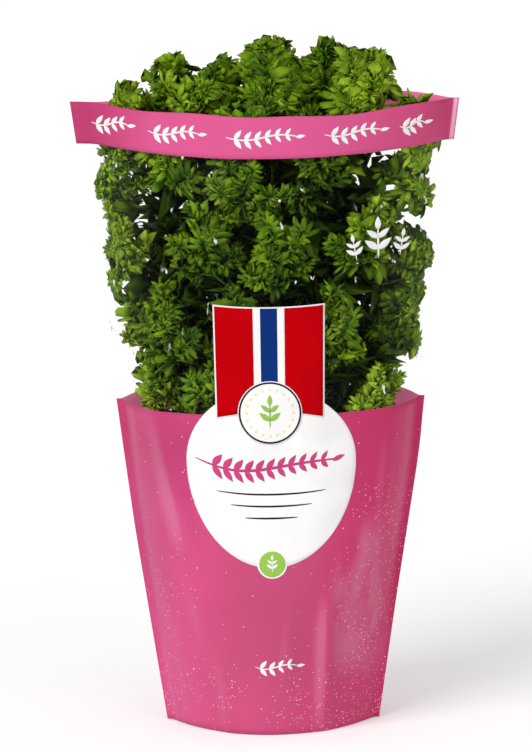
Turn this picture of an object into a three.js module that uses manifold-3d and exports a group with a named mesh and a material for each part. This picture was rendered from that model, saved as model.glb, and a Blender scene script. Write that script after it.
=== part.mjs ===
// Potted curly parsley, sold in a tapered film sleeve: a nursery pot with its soil, 51 leaf fronds that
// grow out of the soil, and a sleeve with an opaque skirt, a clear window and an opaque band at its mouth.
// Millimetres, +Z up. The origin is the centre of the pot's foot, and the sleeve's front faces -Y.
import * as THREE from "three";
import { mergeVertices } from "three/addons/utils/BufferGeometryUtils.js";
import Module from "manifold-3d";

const wasm = await Module();
wasm.setup();

// Running gap between pieces that rest on each other, and the distance under which two points are one.
const GAP = 0.3;
const WELD = 1e-4;

// Nursery pot: a thin tapered cup with a stiff band round its rim and drain holes in its floor.
const POT_HEIGHT = 88;
const POT_FOOT_RADIUS = 37;
const POT_RIM_RADIUS = 52;
const POT_WALL = 1.5;
const POT_FLOOR = 2;
const RIM_BAND_HEIGHT = 10;
const RIM_BAND_STEP = 1.5;
const POT_SIDES = 40;
const DRAIN_HOLES = 6;
const DRAIN_RADIUS = 3.5;
const DRAIN_CIRCLE = 24;
const DRAIN_SIDES = 10;

// Soil: fills the pot to just under its rim, with a low crumbly mound.
const SOIL_LEVEL = 78;
const SOIL_MOUND = 3;
const SOIL_CRUMB = 0.8;
const SOIL_RINGS = 4;
const SOIL_FLAT_EDGE = 1;
const ROOT_DEPTH = 9;
const STEM_HOLE_MARGIN = 0.2;
// The crumbs' waves, in radians a millimetre: fine ones along x and y, coarse ones aslant.
const FINE_CRUMBS = [0.45, 0.5];
const COARSE_CRUMBS = [0.21, -0.33];
const CRUMB_SHIFT = 1.3;

// Sleeve: two film panels welded along both sides, so that each side ends in a flat seam.
const SLEEVE_HEIGHT = 312;
const SKIRT_TOP = 164;
const BAND_BOTTOM = 291.4;
const FOOT_HALF_WIDTH = 53.2;
const TAPER = 0.1384;
const FILM = 0.7;
const SEAM_HALF_THICKNESS = 0.6;
const PANEL_STEPS = 18;
const SKIRT_STEPS = 6;
const WINDOW_STEPS = 4;
const BAND_STEPS = 1;
// How far the sleeve bulges to the front and back, how pointed its section is, the width of its seams
// and how much higher its corners stand than its middle.
const SLEEVE_STATIONS = [
  { z: 0, depth: 38, power: 0.93, seam: 4, lift: 0.4 },
  { z: 78, depth: 52.7, power: 0.58, seam: 5, lift: 0.2 },
  { z: SKIRT_TOP, depth: 54, power: 0.52, seam: 6, lift: 0 },
  { z: SLEEVE_HEIGHT, depth: 53.5, power: 1.1, seam: 6, lift: 1.5 },
];

// Parsley: tiers of fronds behind the film, each frond in a cell of its own, and a crown that stands out
// of the sleeve's mouth. The cells are wedges round the sleeve's axis.
const TIERS = 5;
const FRONDS_PER_TIER = 9;
const FIRST_BOTTOM = 142;
const TIER_HEIGHT = 38.4;
const CROWN_FRONDS = 6;
const CROWN_BOTTOM = 306;
const CELL_MARGIN = 0.3;
const CELL_DEPTH = 28;
const FILM_CLEARANCE = 0.8;
const FILM_HALVINGS = 24;
const SLOPE_STEP = 0.5;
const WEDGE_WIDTH = 70;
const WEDGE_DEPTH = 55;
// A blade bends freely over this share of its cell, and its cell turns as one nearer the axis than this.
const FREE_SHARE = 0.7;
const LEAST_TURNING_RADIUS = 4;
// Stems: where they stand in the soil as shares of an oval, how far they rise straight, and the gate that
// leads each one into its cell.
const STEM_HALF = 0.85;
const STEM_STEPS = 5;
const ROOT_WIDTH = 38;
const ROOT_SPREAD = 26;
const FIRST_ROOT = 0.95;
const ROOT_STEP = 0.15;
const CROWN_ROOT = 0.2;
const STRAIGHT_ROOT = 6;
const GATE_DROP = 3;
const GATE_INSET = 4;
const CROWN_GATE = 10;
const STEM_SWAY = 2;
// A leaf's foot in its cell, as shares of the cell's height and depth, and its rib's lean outwards.
const LEAF_FOOT = 0.33;
const LEAF_REACH = 0.5;
const CROWN_LEAF_REACH = 0.65;
const RIB_LEAN = 0.2;

// The height of the foliage's top across the sleeve, from left to right, and how far to the side it is read
// off: as a share of the film's distance, and in the crown.
const CANOPY_REACH = 0.85;
const CROWN_REACH = 45;
const CANOPY = [
  [-90, 317],
  [-62, 324],
  [-48, 337],
  [-36, 329],
  [-14, 333],
  [-6, 347],
  [38, 346],
  [62, 341],
  [80, 319],
  [90, 312],
];

// Leaf of a frond: a thin waved sheet with a rib and five toothed lobes.
const BLADE_THICKNESS = 0.9;
const RIB_HALF_WIDTH = 0.6;
const RIB_LEVELS = [0, 2.5, 9, 11.5, 14];
const FULL_CELL_WIDTH = 30;
const FULL_CELL_HEIGHT = 36;
const LEAST_SCALE = 0.85;
// A lobe is shortened step by step while its tip bends more than this, down to the shortest length.
const MOST_BEND = 4.5;
const SHORTEST_LOBE = 12;
const LOBE_SHRINK = 0.92;
// How much lobes differ: in direction, in the way they face, in size and in curl.
const DIRECTION_SWAY = 0.12;
const FACING_SWAY = 0.25;
const LEAST_SIZE = 0.92;
const SIZE_RANGE = 0.16;
const LEAST_CURL = 0.8;
const CURL_RANGE = 0.5;
// How a lobe arches along its length and falls to its sides.
const LOBE_ARCH = 0.12;
const LOBE_FALL = 0.3;
// Half of a lobe's outline from its neck to its tip: along the lobe, across it, and up or down.
const HALF_LOBE = [
  { along: 0.46, across: 0.31, rise: -0.12 },
  { along: 0.54, across: 0.17, rise: 0.07 },
  { along: 0.85, across: 0.37, rise: -0.05 },
  { along: 0.8, across: 0.13, rise: 0.08 },
];
const LOBE_TIP = { along: 1.05, across: 0, rise: -0.14 };
// The lobes in order round the leaf: the rib's corners at both sides of their neck (level and side), their
// direction in the leaf's frame (sideways, up the rib, out towards the film) and their length.
const LOBES = [
  { from: [0, -1], to: [1, -1], side: -0.95, up: -0.3, out: 0.05, size: 24 },
  { from: [2, -1], to: [3, -1], side: -0.85, up: 0.42, out: 0.35, size: 25 },
  { from: [4, -1], to: [4, 1], side: 0, up: 1, out: -0.1, size: 23 },
  { from: [3, 1], to: [2, 1], side: 0.85, up: 0.42, out: 0.35, size: 25 },
  { from: [1, 1], to: [0, 1], side: 0.95, up: -0.3, out: 0.05, size: 24 },
];

const UP = new THREE.Vector3(0, 0, 1);

// What a scattered number is for, and how many seeds each frond keeps for its lobes.
const PURPOSE = { stem: 2, side: 11, up: 12, out: 13, faceSide: 14, faceUp: 15, size: 16, curl: 17 };
const LOBE_SEEDS = 17;

// A repeatable number from 0 to 1 for a frond and a purpose.
function scatter(seed, purpose) {
  const x = Math.sin(seed * 12.9898 + purpose * 78.233) * 43758.5453;
  return x - Math.floor(x);
}

// The same, from -1 to 1.
function sway(seed, purpose) {
  return 2 * scatter(seed, purpose) - 1;
}

// A closed geometry as a solid.
function solidOf(geometry) {
  geometry.deleteAttribute("normal");
  geometry.deleteAttribute("uv");
  const merged = mergeVertices(geometry, WELD);
  return new wasm.Manifold(
    new wasm.Mesh({
      numProp: 3,
      vertProperties: merged.attributes.position.array,
      triVerts: new Uint32Array(merged.index.array),
    }),
  );
}

// A solid as a geometry with flat faces.
function geometryOf(solid) {
  const { numProp, vertProperties, triVerts } = solid.getMesh();
  const positions = new Float32Array(triVerts.length * 3);
  triVerts.forEach((vertex, i) =>
    positions.set(vertProperties.subarray(vertex * numProp, vertex * numProp + 3), i * 3),
  );
  const geometry = new THREE.BufferGeometry();
  geometry.setAttribute("position", new THREE.BufferAttribute(positions, 3));
  geometry.computeVertexNormals();
  return geometry;
}

// A closed solid from points and the triangles between them.
function solidFrom(points, triangles) {
  const geometry = new THREE.BufferGeometry();
  const positions = points.flatMap((p) => [p.x, p.y, p.z]);
  geometry.setAttribute("position", new THREE.Float32BufferAttribute(positions, 3));
  geometry.setIndex(triangles.flat());
  return solidOf(geometry);
}

function latheSolid(profile, sides) {
  const points = profile.map(([r, z]) => new THREE.Vector2(r, z));
  return solidOf(new THREE.LatheGeometry(points, sides).rotateX(Math.PI / 2));
}

// The pot's radius at a height, without its rim band.
function potRadius(z) {
  const rim = POT_RIM_RADIUS - RIM_BAND_STEP;
  return POT_FOOT_RADIUS + ((rim - POT_FOOT_RADIUS) * z) / POT_HEIGHT;
}

function makePot() {
  const bandBottom = POT_HEIGHT - RIM_BAND_HEIGHT;
  const cup = latheSolid(
    [
      [0, 0],
      [POT_FOOT_RADIUS, 0],
      [potRadius(bandBottom), bandBottom],
      [POT_RIM_RADIUS, bandBottom + RIM_BAND_STEP],
      [POT_RIM_RADIUS, POT_HEIGHT],
      [potRadius(POT_HEIGHT) - POT_WALL, POT_HEIGHT],
      [potRadius(POT_FLOOR) - POT_WALL, POT_FLOOR],
      [0, POT_FLOOR],
    ],
    POT_SIDES,
  );
  const drains = Array.from({ length: DRAIN_HOLES }, (_, i) => {
    const angle = (2 * Math.PI * i) / DRAIN_HOLES;
    const hole = new THREE.CylinderGeometry(DRAIN_RADIUS, DRAIN_RADIUS, 3 * POT_FLOOR, DRAIN_SIDES);
    hole.rotateX(Math.PI / 2);
    hole.translate(DRAIN_CIRCLE * Math.cos(angle), DRAIN_CIRCLE * Math.sin(angle), 0);
    return solidOf(hole);
  });
  return cup.subtract(wasm.Manifold.union(drains));
}

// The soil's height at a point: a low mound with crumbs.
function soilHeight(x, y) {
  const share = Math.hypot(x, y) / potRadius(SOIL_LEVEL);
  const fine = Math.sin(FINE_CRUMBS[0] * x + CRUMB_SHIFT) * Math.cos(FINE_CRUMBS[1] * y);
  const coarse = Math.sin(COARSE_CRUMBS[0] * x + COARSE_CRUMBS[1] * y);
  const crumbs = SOIL_CRUMB * (fine + coarse) * (1 - share ** 4);
  return SOIL_LEVEL + SOIL_MOUND * (1 - share * share) + crumbs;
}

function makeSoil(stems) {
  const bottom = POT_FLOOR + GAP;
  const clear = POT_WALL + GAP;
  const edge = potRadius(SOIL_LEVEL) - clear;
  const rings = Array.from({ length: SOIL_RINGS }, (_, i) => edge * (1 - (i + 1) / (SOIL_RINGS + 1)));
  const profile = [
    [0, bottom],
    [potRadius(bottom) - clear, bottom],
    [edge, SOIL_LEVEL],
    ...rings.map((r) => [r, SOIL_LEVEL]),
    [0, SOIL_LEVEL],
  ];
  const points = profile.map(([r, z]) => new THREE.Vector2(r, z));
  const plug = new THREE.LatheGeometry(points, POT_SIDES / 2).rotateX(Math.PI / 2);
  const position = plug.getAttribute("position");
  for (let i = 0; i < position.count; i++) {
    const [x, y] = [position.getX(i), position.getY(i)];
    const high = position.getZ(i) > SOIL_LEVEL - SOIL_FLAT_EDGE;
    const onTop = high && Math.hypot(x, y) < edge - SOIL_FLAT_EDGE;
    if (onTop) position.setZ(i, soilHeight(x, y));
  }
  const holes = stems.map((curve) => {
    const { x, y } = curve.getPoint(0);
    const width = 2 * (STEM_HALF + GAP) + STEM_HOLE_MARGIN;
    const hole = new THREE.BoxGeometry(width, width, 3 * ROOT_DEPTH);
    hole.rotateZ(Math.atan2(y / ROOT_SPREAD, x / ROOT_WIDTH));
    hole.translate(x, y, SOIL_LEVEL + ROOT_DEPTH / 2 - GAP);
    return solidOf(hole);
  });
  return solidOf(plug).subtract(wasm.Manifold.union(holes));
}

// The sleeve's measures at a height, straight between the stations.
function sleeveAt(z) {
  const level = THREE.MathUtils.clamp(z, 0, SLEEVE_HEIGHT);
  const upper = Math.max(1, SLEEVE_STATIONS.findIndex((s) => s.z >= level));
  const [a, b] = [SLEEVE_STATIONS[upper - 1], SLEEVE_STATIONS[upper]];
  const share = (level - a.z) / (b.z - a.z);
  const between = (key) => THREE.MathUtils.lerp(a[key], b[key], share);
  const width = FOOT_HALF_WIDTH + TAPER * level;
  const [depth, power, seam, lift] = ["depth", "power", "seam", "lift"].map(between);
  return { width, depth, power, seam, lift };
}

// A point of the sleeve's inside at a height and an angle round it, moved outwards by an offset: the
// section is a curve x = a cos, y = b sin^(2 power), an ellipse where power is 0.5 and pointed above.
function sleevePoint(z, angle, offset = 0) {
  const { width, depth, power, seam } = sleeveAt(z);
  const [c, s] = [Math.cos(angle), Math.sin(angle)];
  const bulge = Math.sign(s) * Math.abs(s) ** (2 * power);
  return new THREE.Vector2((width - seam + offset) * c, (depth + offset) * bulge);
}

// The outside and the inside of the sleeve's section at a height, both anticlockwise.
function sleeveLoops(z) {
  const { width, seam } = sleeveAt(z);
  const [outside, inside] = [[], []];
  for (const side of [1, -1]) {
    outside.push(new THREE.Vector2(side * width, -side * SEAM_HALF_THICKNESS));
    outside.push(new THREE.Vector2(side * width, side * SEAM_HALF_THICKNESS));
    inside.push(new THREE.Vector2(side * (width - seam), 0));
    for (let i = 1; i < PANEL_STEPS; i++) {
      const angle = (Math.PI * i) / PANEL_STEPS + (side > 0 ? 0 : Math.PI);
      const outer = sleevePoint(z, angle, FILM);
      outer.y = side * Math.max(Math.abs(outer.y), SEAM_HALF_THICKNESS);
      outside.push(outer);
      inside.push(sleevePoint(z, angle));
    }
  }
  return { outside, inside };
}

// One ring of the sleeve between two heights. Its corners stand a little higher than its middle.
function sleeveRing(bottom, top, steps) {
  const levels = Array.from({ length: steps + 1 }, (_, i) => bottom + ((top - bottom) * i) / steps);
  const points = [];
  const triangles = [];
  const quad = (a, b, c, d) => triangles.push([a, b, c], [a, c, d]);
  let outsideCount, insideCount;
  for (const z of levels) {
    const { outside, inside } = sleeveLoops(z);
    [outsideCount, insideCount] = [outside.length, inside.length];
    const { width, lift } = sleeveAt(z);
    for (const p of [...outside, ...inside])
      points.push(new THREE.Vector3(p.x, p.y, z + lift * (p.x / width) ** 2));
  }
  const stride = outsideCount + insideCount;
  for (let level = 0; level < steps; level++) {
    const base = level * stride;
    for (let i = 0; i < outsideCount; i++) {
      const next = (i + 1) % outsideCount;
      quad(base + i, base + next, base + stride + next, base + stride + i);
    }
    for (let i = 0; i < insideCount; i++) {
      const [here, next] = [outsideCount + i, outsideCount + ((i + 1) % insideCount)];
      quad(base + next, base + here, base + stride + here, base + stride + next);
    }
  }
  for (const [level, turn] of [
    [0, -1],
    [steps, 1],
  ]) {
    const { outside, inside } = sleeveLoops(levels[level]);
    const flat = [...outside, ...inside];
    for (const [a, b, c] of THREE.ShapeUtils.triangulateShape(outside, [inside])) {
      const area = flat[b].clone().sub(flat[a]).cross(flat[c].clone().sub(flat[a]));
      const corners = area * turn > 0 ? [a, b, c] : [a, c, b];
      triangles.push(corners.map((corner) => corner + level * stride));
    }
  }
  return solidFrom(points, triangles);
}

// How far the film's inside is from the axis at a height and in a direction, less a clearance.
function filmRadius(z, bearing) {
  const { width, depth, power, seam } = sleeveAt(z);
  const [c, s] = [Math.abs(Math.cos(bearing)), Math.abs(Math.sin(bearing))];
  const clearance = FILM_CLEARANCE + BLADE_THICKNESS / 2;
  const wall = (x) => depth * Math.max(0, 1 - (x / (width - seam)) ** 2) ** power;
  let [near, far] = [0, width];
  for (let i = 0; i < FILM_HALVINGS; i++) {
    const radius = (near + far) / 2;
    const slope = (wall(radius * c) - wall(radius * c + SLOPE_STEP)) / SLOPE_STEP;
    const room = wall(radius * c) - radius * s - clearance * Math.hypot(1, slope);
    if (room > 0) near = radius;
    else far = radius;
  }
  return near;
}

// The height of the foliage's top at a distance to the side, straight between the canopy's points.
function canopyHeight(x) {
  const right = Math.max(1, CANOPY.findIndex(([side]) => side >= x));
  const [[x0, z0], [x1, z1]] = [CANOPY[right - 1], CANOPY[right]];
  return THREE.MathUtils.mapLinear(x, x0, x1, z0, z1);
}

// The direction from the axis of a wedge's edge.
function wedgeEdge(turn) {
  const angle = 2 * Math.PI * turn;
  return Math.atan2(WEDGE_DEPTH * Math.sin(angle), WEDGE_WIDTH * Math.cos(angle));
}

// A frond's cell: a wedge between two directions and two heights, with its depth behind the film. The
// root share says how far out in the soil its stem stands.
function makeCell(turn, count, { bottom, top, deep, root }) {
  const from = wedgeEdge(turn - 0.5 / count);
  let to = wedgeEdge(turn + 0.5 / count);
  if (to < from) to += 2 * Math.PI;
  return { bearing: (from + to) / 2, halfTurn: (to - from) / 2, bottom, top, deep, root };
}

function makeCells() {
  const cells = [];
  for (let tier = 0; tier < TIERS; tier++)
    for (let i = 0; i < FRONDS_PER_TIER; i++) {
      const turn = (i + (tier % 2) / 2) / FRONDS_PER_TIER;
      const bottom = FIRST_BOTTOM + tier * TIER_HEIGHT;
      const angle = 2 * Math.PI * turn;
      const side = CANOPY_REACH * filmRadius(bottom, angle) * Math.cos(angle);
      const top = Math.min(bottom + TIER_HEIGHT, canopyHeight(side));
      const root = FIRST_ROOT - ROOT_STEP * tier;
      cells.push(makeCell(turn, FRONDS_PER_TIER, { bottom, top, deep: CELL_DEPTH, root }));
    }
  for (let i = 0; i < CROWN_FRONDS; i++) {
    const turn = (i + 0.5) / CROWN_FRONDS;
    const top = canopyHeight(CROWN_REACH * Math.cos(2 * Math.PI * turn));
    const crown = { bottom: CROWN_BOTTOM, top, deep: 0, root: CROWN_ROOT };
    cells.push(makeCell(turn, CROWN_FRONDS, crown));
  }
  return cells;
}

// Where a cell starts and ends along a direction from the axis. A crown's cell ends where the others start.
function cellRange(cell, z, bearing) {
  const wall = filmRadius(z, bearing);
  const inner = wall - CELL_DEPTH;
  if (cell.deep) return { near: inner + 2 * CELL_MARGIN, far: wall };
  return { near: 1, far: inner - 2 * CELL_MARGIN };
}

// Brings a value back under a limit, smoothly, from the free share of the limit on.
function squeeze(value, limit) {
  const free = FREE_SHARE * limit;
  const over = Math.abs(value) - free;
  if (over <= 0) return value;
  const rest = limit - free;
  return Math.sign(value) * (free + rest * (1 - Math.exp(-over / rest)));
}

// Bends a point of a blade's middle back into its frond's cell.
function intoCell(point, cell) {
  const margin = CELL_MARGIN + BLADE_THICKNESS / 2;
  const middle = (cell.bottom + cell.top) / 2;
  const z = middle + squeeze(point.z - middle, (cell.top - cell.bottom) / 2 - margin);
  const radius = Math.hypot(point.x, point.y);
  const turn = Math.atan2(point.y, point.x) - cell.bearing;
  const wrapped = turn - 2 * Math.PI * Math.round(turn / (2 * Math.PI));
  const edge = margin / Math.max(radius, LEAST_TURNING_RADIUS);
  const bearing = cell.bearing + squeeze(wrapped, cell.halfTurn - edge);
  const { near, far } = cellRange(cell, z, bearing);
  const reach = (near + far) / 2 + squeeze(radius - (near + far) / 2, (far - near) / 2);
  return new THREE.Vector3(reach * Math.cos(bearing), reach * Math.sin(bearing), z);
}

// A frond's frame: its stem's curve, where it ends, and the directions up its rib, sideways and out.
function frondFrame(cell, seed) {
  const { bearing, halfTurn, bottom, top, root } = cell;
  const out = new THREE.Vector3(Math.cos(bearing), Math.sin(bearing), 0);
  const rib = UP.clone().addScaledVector(out, RIB_LEAN).normalize();
  const side = new THREE.Vector3().crossVectors(rib, out).normalize();
  const face = new THREE.Vector3().crossVectors(side, rib).normalize();
  const height = bottom + LEAF_FOOT * (top - bottom);
  const { near, far } = cellRange(cell, height, bearing);
  const radius = near + (far - near) * (cell.deep ? LEAF_REACH : CROWN_LEAF_REACH);
  const end = out.clone().multiplyScalar(radius).setZ(height);
  end.addScaledVector(side, STEM_SWAY * sway(seed, PURPOSE.stem));
  const foot = new THREE.Vector3(
    root * ROOT_WIDTH * Math.cos(bearing),
    root * ROOT_SPREAD * Math.sin(bearing),
    SOIL_LEVEL + STRAIGHT_ROOT,
  );
  const { near: inner } = cellRange(cell, bottom, bearing);
  const throat = cell.deep ? inner - GATE_INSET : inner + CROWN_GATE;
  const gate = out.clone().multiplyScalar(throat).setZ(bottom - GATE_DROP);
  const curve = new THREE.CatmullRomCurve3([foot, foot.clone().lerp(gate, 0.5), gate, end]);
  const widthScale = Math.max(LEAST_SCALE, (2 * radius * Math.tan(halfTurn)) / FULL_CELL_WIDTH);
  const scale = Math.min(widthScale, (top - bottom) / FULL_CELL_HEIGHT);
  return { cell, curve, end, rib, side, face, scale };
}

// A lobe's length, shortened until its tip needs little bending to stay in its cell.
function fittedLength(base, direction, length, cell) {
  const tip = base.clone().addScaledVector(direction, length);
  if (length < SHORTEST_LOBE || intoCell(tip, cell).distanceTo(tip) < MOST_BEND) return length;
  return fittedLength(base, direction, LOBE_SHRINK * length, cell);
}

// A lobe's direction, its width's direction, the direction it faces and its length.
function lobeFrame({ cell, rib, side, face, scale }, lobe, base, seed) {
  const turn = (purpose, amount) => amount * sway(seed, purpose);
  const direction = new THREE.Vector3()
    .addScaledVector(side, lobe.side + turn(PURPOSE.side, DIRECTION_SWAY))
    .addScaledVector(rib, lobe.up + turn(PURPOSE.up, DIRECTION_SWAY))
    .addScaledVector(face, lobe.out + turn(PURPOSE.out, DIRECTION_SWAY))
    .normalize();
  const facing = face
    .clone()
    .addScaledVector(side, turn(PURPOSE.faceSide, FACING_SWAY))
    .addScaledVector(rib, turn(PURPOSE.faceUp, FACING_SWAY));
  const across = new THREE.Vector3().crossVectors(facing, direction).normalize();
  const normal = new THREE.Vector3().crossVectors(direction, across).normalize();
  const growth = LEAST_SIZE + SIZE_RANGE * scatter(seed, PURPOSE.size);
  const size = fittedLength(base, direction, lobe.size * scale * growth, cell);
  const curl = LEAST_CURL + CURL_RANGE * scatter(seed, PURPOSE.curl);
  return { direction, across, normal, size, curl };
}

// The free outline of a lobe, from one side of its neck round its tip to the other side.
function lobeOutline(base, { direction, across, normal, size, curl }) {
  const mirrored = HALF_LOBE.map((p) => ({ ...p, across: -p.across })).reverse();
  return [...HALF_LOBE, LOBE_TIP, ...mirrored].map(({ along, across: over, rise }) => {
    const arch = LOBE_ARCH * Math.sin(Math.PI * along) - LOBE_FALL * over * over;
    return base
      .clone()
      .addScaledVector(direction, along * size)
      .addScaledVector(across, over * size)
      .addScaledVector(normal, (curl * rise + arch) * size);
  });
}

// The triangles that fill a lobe, between the numbers of its outline's points.
function fillLobe(ring) {
  const triangles = [];
  const last = ring.length - 1;
  const add = (...corners) => triangles.push(corners.map((corner) => ring[corner]));
  for (let i = 0; i < HALF_LOBE.length; i += 2) {
    const mirror = last - i;
    add(i, i + 2, i + 1);
    add(mirror, mirror - 1, mirror - 2);
    add(i, mirror, mirror - 2);
    add(i, mirror - 2, i + 2);
  }
  add(HALF_LOBE.length, last - HALF_LOBE.length, HALF_LOBE.length + 1);
  return triangles;
}

// A leaf's middle surface: its outline from the rib's left foot round to its right foot, and the triangles
// that fill it.
function leafSheet(frame, index) {
  const { end, rib, side, scale } = frame;
  const outline = [];
  const corners = new Map();
  const onRib = (level) => end.clone().addScaledVector(rib, RIB_LEVELS[level] * scale);
  const corner = (level, hand) => {
    const key = level + " " + hand;
    if (corners.has(key)) return corners.get(key);
    const point = onRib(level).addScaledVector(side, hand * RIB_HALF_WIDTH);
    corners.set(key, outline.push(point) - 1);
    return corners.get(key);
  };
  const triangles = LOBES.flatMap((lobe, i) => {
    const first = corner(...lobe.from);
    const base = onRib(lobe.from[0]).lerp(onRib(lobe.to[0]), 0.5);
    outline.push(...lobeOutline(base, lobeFrame(frame, lobe, base, index * LOBE_SEEDS + i)));
    const free = Array.from({ length: 2 * HALF_LOBE.length + 1 }, (_, k) => first + 1 + k);
    return fillLobe([first, ...free, corner(...lobe.to)]);
  });
  for (let level = 0; level < RIB_LEVELS.length - 1; level++) {
    const [a, b] = [corner(level, -1), corner(level, 1)];
    const [c, d] = [corner(level + 1, 1), corner(level + 1, -1)];
    triangles.push([a, b, c], [a, c, d]);
  }
  return { outline, triangles };
}

// The square sections of a stem below its leaf: one at the root's end, the others from the soil up.
function stemSections({ curve, side }) {
  return Array.from({ length: STEM_STEPS }, (_, step) => {
    const share = Math.max(0, step - 1) / (STEM_STEPS - 1);
    const middle = curve.getPointAt(share);
    if (step === 0) middle.z = SOIL_LEVEL - ROOT_DEPTH;
    const tangent = step < 2 ? UP : curve.getTangentAt(share);
    const front = new THREE.Vector3().crossVectors(side, tangent).normalize();
    return [
      [-1, 1],
      [1, 1],
      [1, -1],
      [-1, -1],
    ].map(([across, forward]) =>
      middle
        .clone()
        .addScaledVector(side, across * STEM_HALF)
        .addScaledVector(front, forward * STEM_HALF),
    );
  });
}

// The direction that a surface faces at each of its points.
function pointNormals(points, triangles) {
  const normals = points.map(() => new THREE.Vector3());
  for (const corners of triangles) {
    const normal = new THREE.Vector3();
    new THREE.Triangle(...corners.map((corner) => points[corner])).getNormal(normal);
    for (const corner of corners) normals[corner].add(normal);
  }
  return normals.map((normal) => normal.normalize());
}

// A frond in one closed skin: the leaf's front and back, the edge round it, and the stem below.
function makeFrond(cell, index) {
  const frame = frondFrame(cell, index);
  const { outline, triangles: fill } = leafSheet(frame, index);
  const count = outline.length;
  const middle = outline.map((point) => intoCell(point, cell));
  const normals = pointNormals(middle, fill);
  const skin = (hand) =>
    middle.map((point, i) =>
      point.clone().addScaledVector(normals[i], (hand * BLADE_THICKNESS) / 2),
    );
  const points = [...skin(1), ...skin(-1), ...stemSections(frame).flat()];
  const triangles = fill.flatMap(([a, b, c]) => [
    [a, b, c],
    [count + a, count + c, count + b],
  ]);
  const quad = (a, b, c, d) => triangles.push([a, b, c], [a, c, d]);
  for (let i = 0; i < count - 1; i++) quad(i, i + 1, count + i + 1, count + i);
  const section = (step) => {
    if (step === STEM_STEPS) return [0, count - 1, 2 * count - 1, count];
    return [0, 1, 2, 3].map((corner) => 2 * count + 4 * step + corner);
  };
  for (let step = 0; step < STEM_STEPS; step++) {
    const [lower, upper] = [section(step), section(step + 1)];
    for (let k = 0; k < 4; k++) {
      const next = (k + 1) % 4;
      quad(lower[k], lower[next], upper[next], upper[k]);
    }
  }
  const [a, b, c, d] = section(0);
  quad(a, d, c, b);
  return { solid: solidFrom(points, triangles), curve: frame.curve };
}

function addPiece(group, name, solid, { color, roughness, opacity = 1 }) {
  const material = new THREE.MeshStandardMaterial({ color, roughness, metalness: 0, opacity });
  material.transparent = opacity < 1;
  const mesh = new THREE.Mesh(geometryOf(solid), material);
  mesh.name = name;
  group.add(mesh);
}

const FINISH = {
  pot: { color: 0x2b2725, roughness: 0.55 },
  soil: { color: 0x2e2017, roughness: 0.95 },
  printedFilm: { color: 0xc9457f, roughness: 0.42 },
  clearFilm: { color: 0xf4f7f5, roughness: 0.15, opacity: 0.12 },
  leaf: { color: 0x4c8a1c, roughness: 0.5 },
};

const parsley = new THREE.Group();
const fronds = makeCells().map(makeFrond);
const stems = fronds.map(({ curve }) => curve);
addPiece(parsley, "nursery_pot", makePot(), FINISH.pot);
addPiece(parsley, "soil", makeSoil(stems), FINISH.soil);
addPiece(parsley, "sleeve_skirt", sleeveRing(0, SKIRT_TOP - GAP, SKIRT_STEPS), FINISH.printedFilm);
const window = sleeveRing(SKIRT_TOP, BAND_BOTTOM - GAP, WINDOW_STEPS);
addPiece(parsley, "sleeve_window", window, FINISH.clearFilm);
addPiece(parsley, "sleeve_band", sleeveRing(BAND_BOTTOM, SLEEVE_HEIGHT, BAND_STEPS), FINISH.printedFilm);
fronds.forEach(({ solid }, i) => {
  const name = "frond_" + String(i + 1).padStart(2, "0");
  addPiece(parsley, name, solid, FINISH.leaf);
});

export default parsley;
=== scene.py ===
"""Potted curly parsley in a tapered film sleeve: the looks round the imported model.

Shapes are worked out in millimetres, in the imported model's frame: the origin is the centre of the pot's
foot, +Z is up and the sleeve's front faces -Y. They go into Blender in metres.
"""

import logging
import math
from collections.abc import Mapping, Sequence
from dataclasses import dataclass, field, fields, replace
from enum import Enum, IntEnum
from functools import lru_cache
from typing import Any

import bpy
import numpy as np
from mathutils import Matrix, Vector


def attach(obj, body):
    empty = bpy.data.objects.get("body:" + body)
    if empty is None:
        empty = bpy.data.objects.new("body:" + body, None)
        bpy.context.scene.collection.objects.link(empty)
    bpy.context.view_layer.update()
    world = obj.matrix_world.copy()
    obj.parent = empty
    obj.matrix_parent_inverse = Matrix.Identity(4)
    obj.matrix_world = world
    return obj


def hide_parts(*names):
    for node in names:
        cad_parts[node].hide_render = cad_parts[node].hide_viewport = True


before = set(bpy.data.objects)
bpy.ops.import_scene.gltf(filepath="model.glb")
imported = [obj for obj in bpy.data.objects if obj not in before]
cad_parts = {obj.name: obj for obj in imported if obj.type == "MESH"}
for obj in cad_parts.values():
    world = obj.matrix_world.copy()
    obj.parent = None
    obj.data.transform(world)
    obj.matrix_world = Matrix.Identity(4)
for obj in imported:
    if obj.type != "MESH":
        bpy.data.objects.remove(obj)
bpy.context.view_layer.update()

log = logging.getLogger("potted_parsley")

MM = 0.001
TAU = 2 * math.pi
UP = np.array([0.0, 0.0, 1.0])
BODY = "root"

Array = np.ndarray
Socket = bpy.types.NodeSocket
Colour = tuple[float, float, float]
Span = tuple[float, float]
Table = tuple[Span, ...]


class Face(Enum):
    """The two film panels of the sleeve; the value is the panel's sign along Y."""

    FRONT = -1
    BACK = 1


class Slot(Enum):
    """Names of material slots for new pieces, which the script doesn't use."""

    PRINTED_FILM = "printed_film"
    CLEAR_FILM = "clear_film"
    LEAF = "leaf"


class Draw(IntEnum):
    """What a scattered number is for: each purpose has a row of numbers of its own."""

    STEM_END = 2
    RIB_LEAN = 3
    STEM_HEIGHT = 4
    BRANCH_SIDE = 11
    BRANCH_UP = 12
    BRANCH_OUT = 13
    BRANCH_LENGTH = 16
    FAN_TWIST = 22
    FAN_SPREAD = 24
    RUFFLE = 25
    RUFFLE_SHIFT = 26
    GROOVE = 27
    BEND = 28
    LOBE_LENGTH = 29
    HOOK = 30
    SHADE = 31
    FROND_SHADE = 32
    BRANCH_SHADE = 33
    PLACE = 41
    TURN = 42
    LEAN = 43
    FACING = 44
    FACING_SIDE = 45
    SIZE = 46


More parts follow.
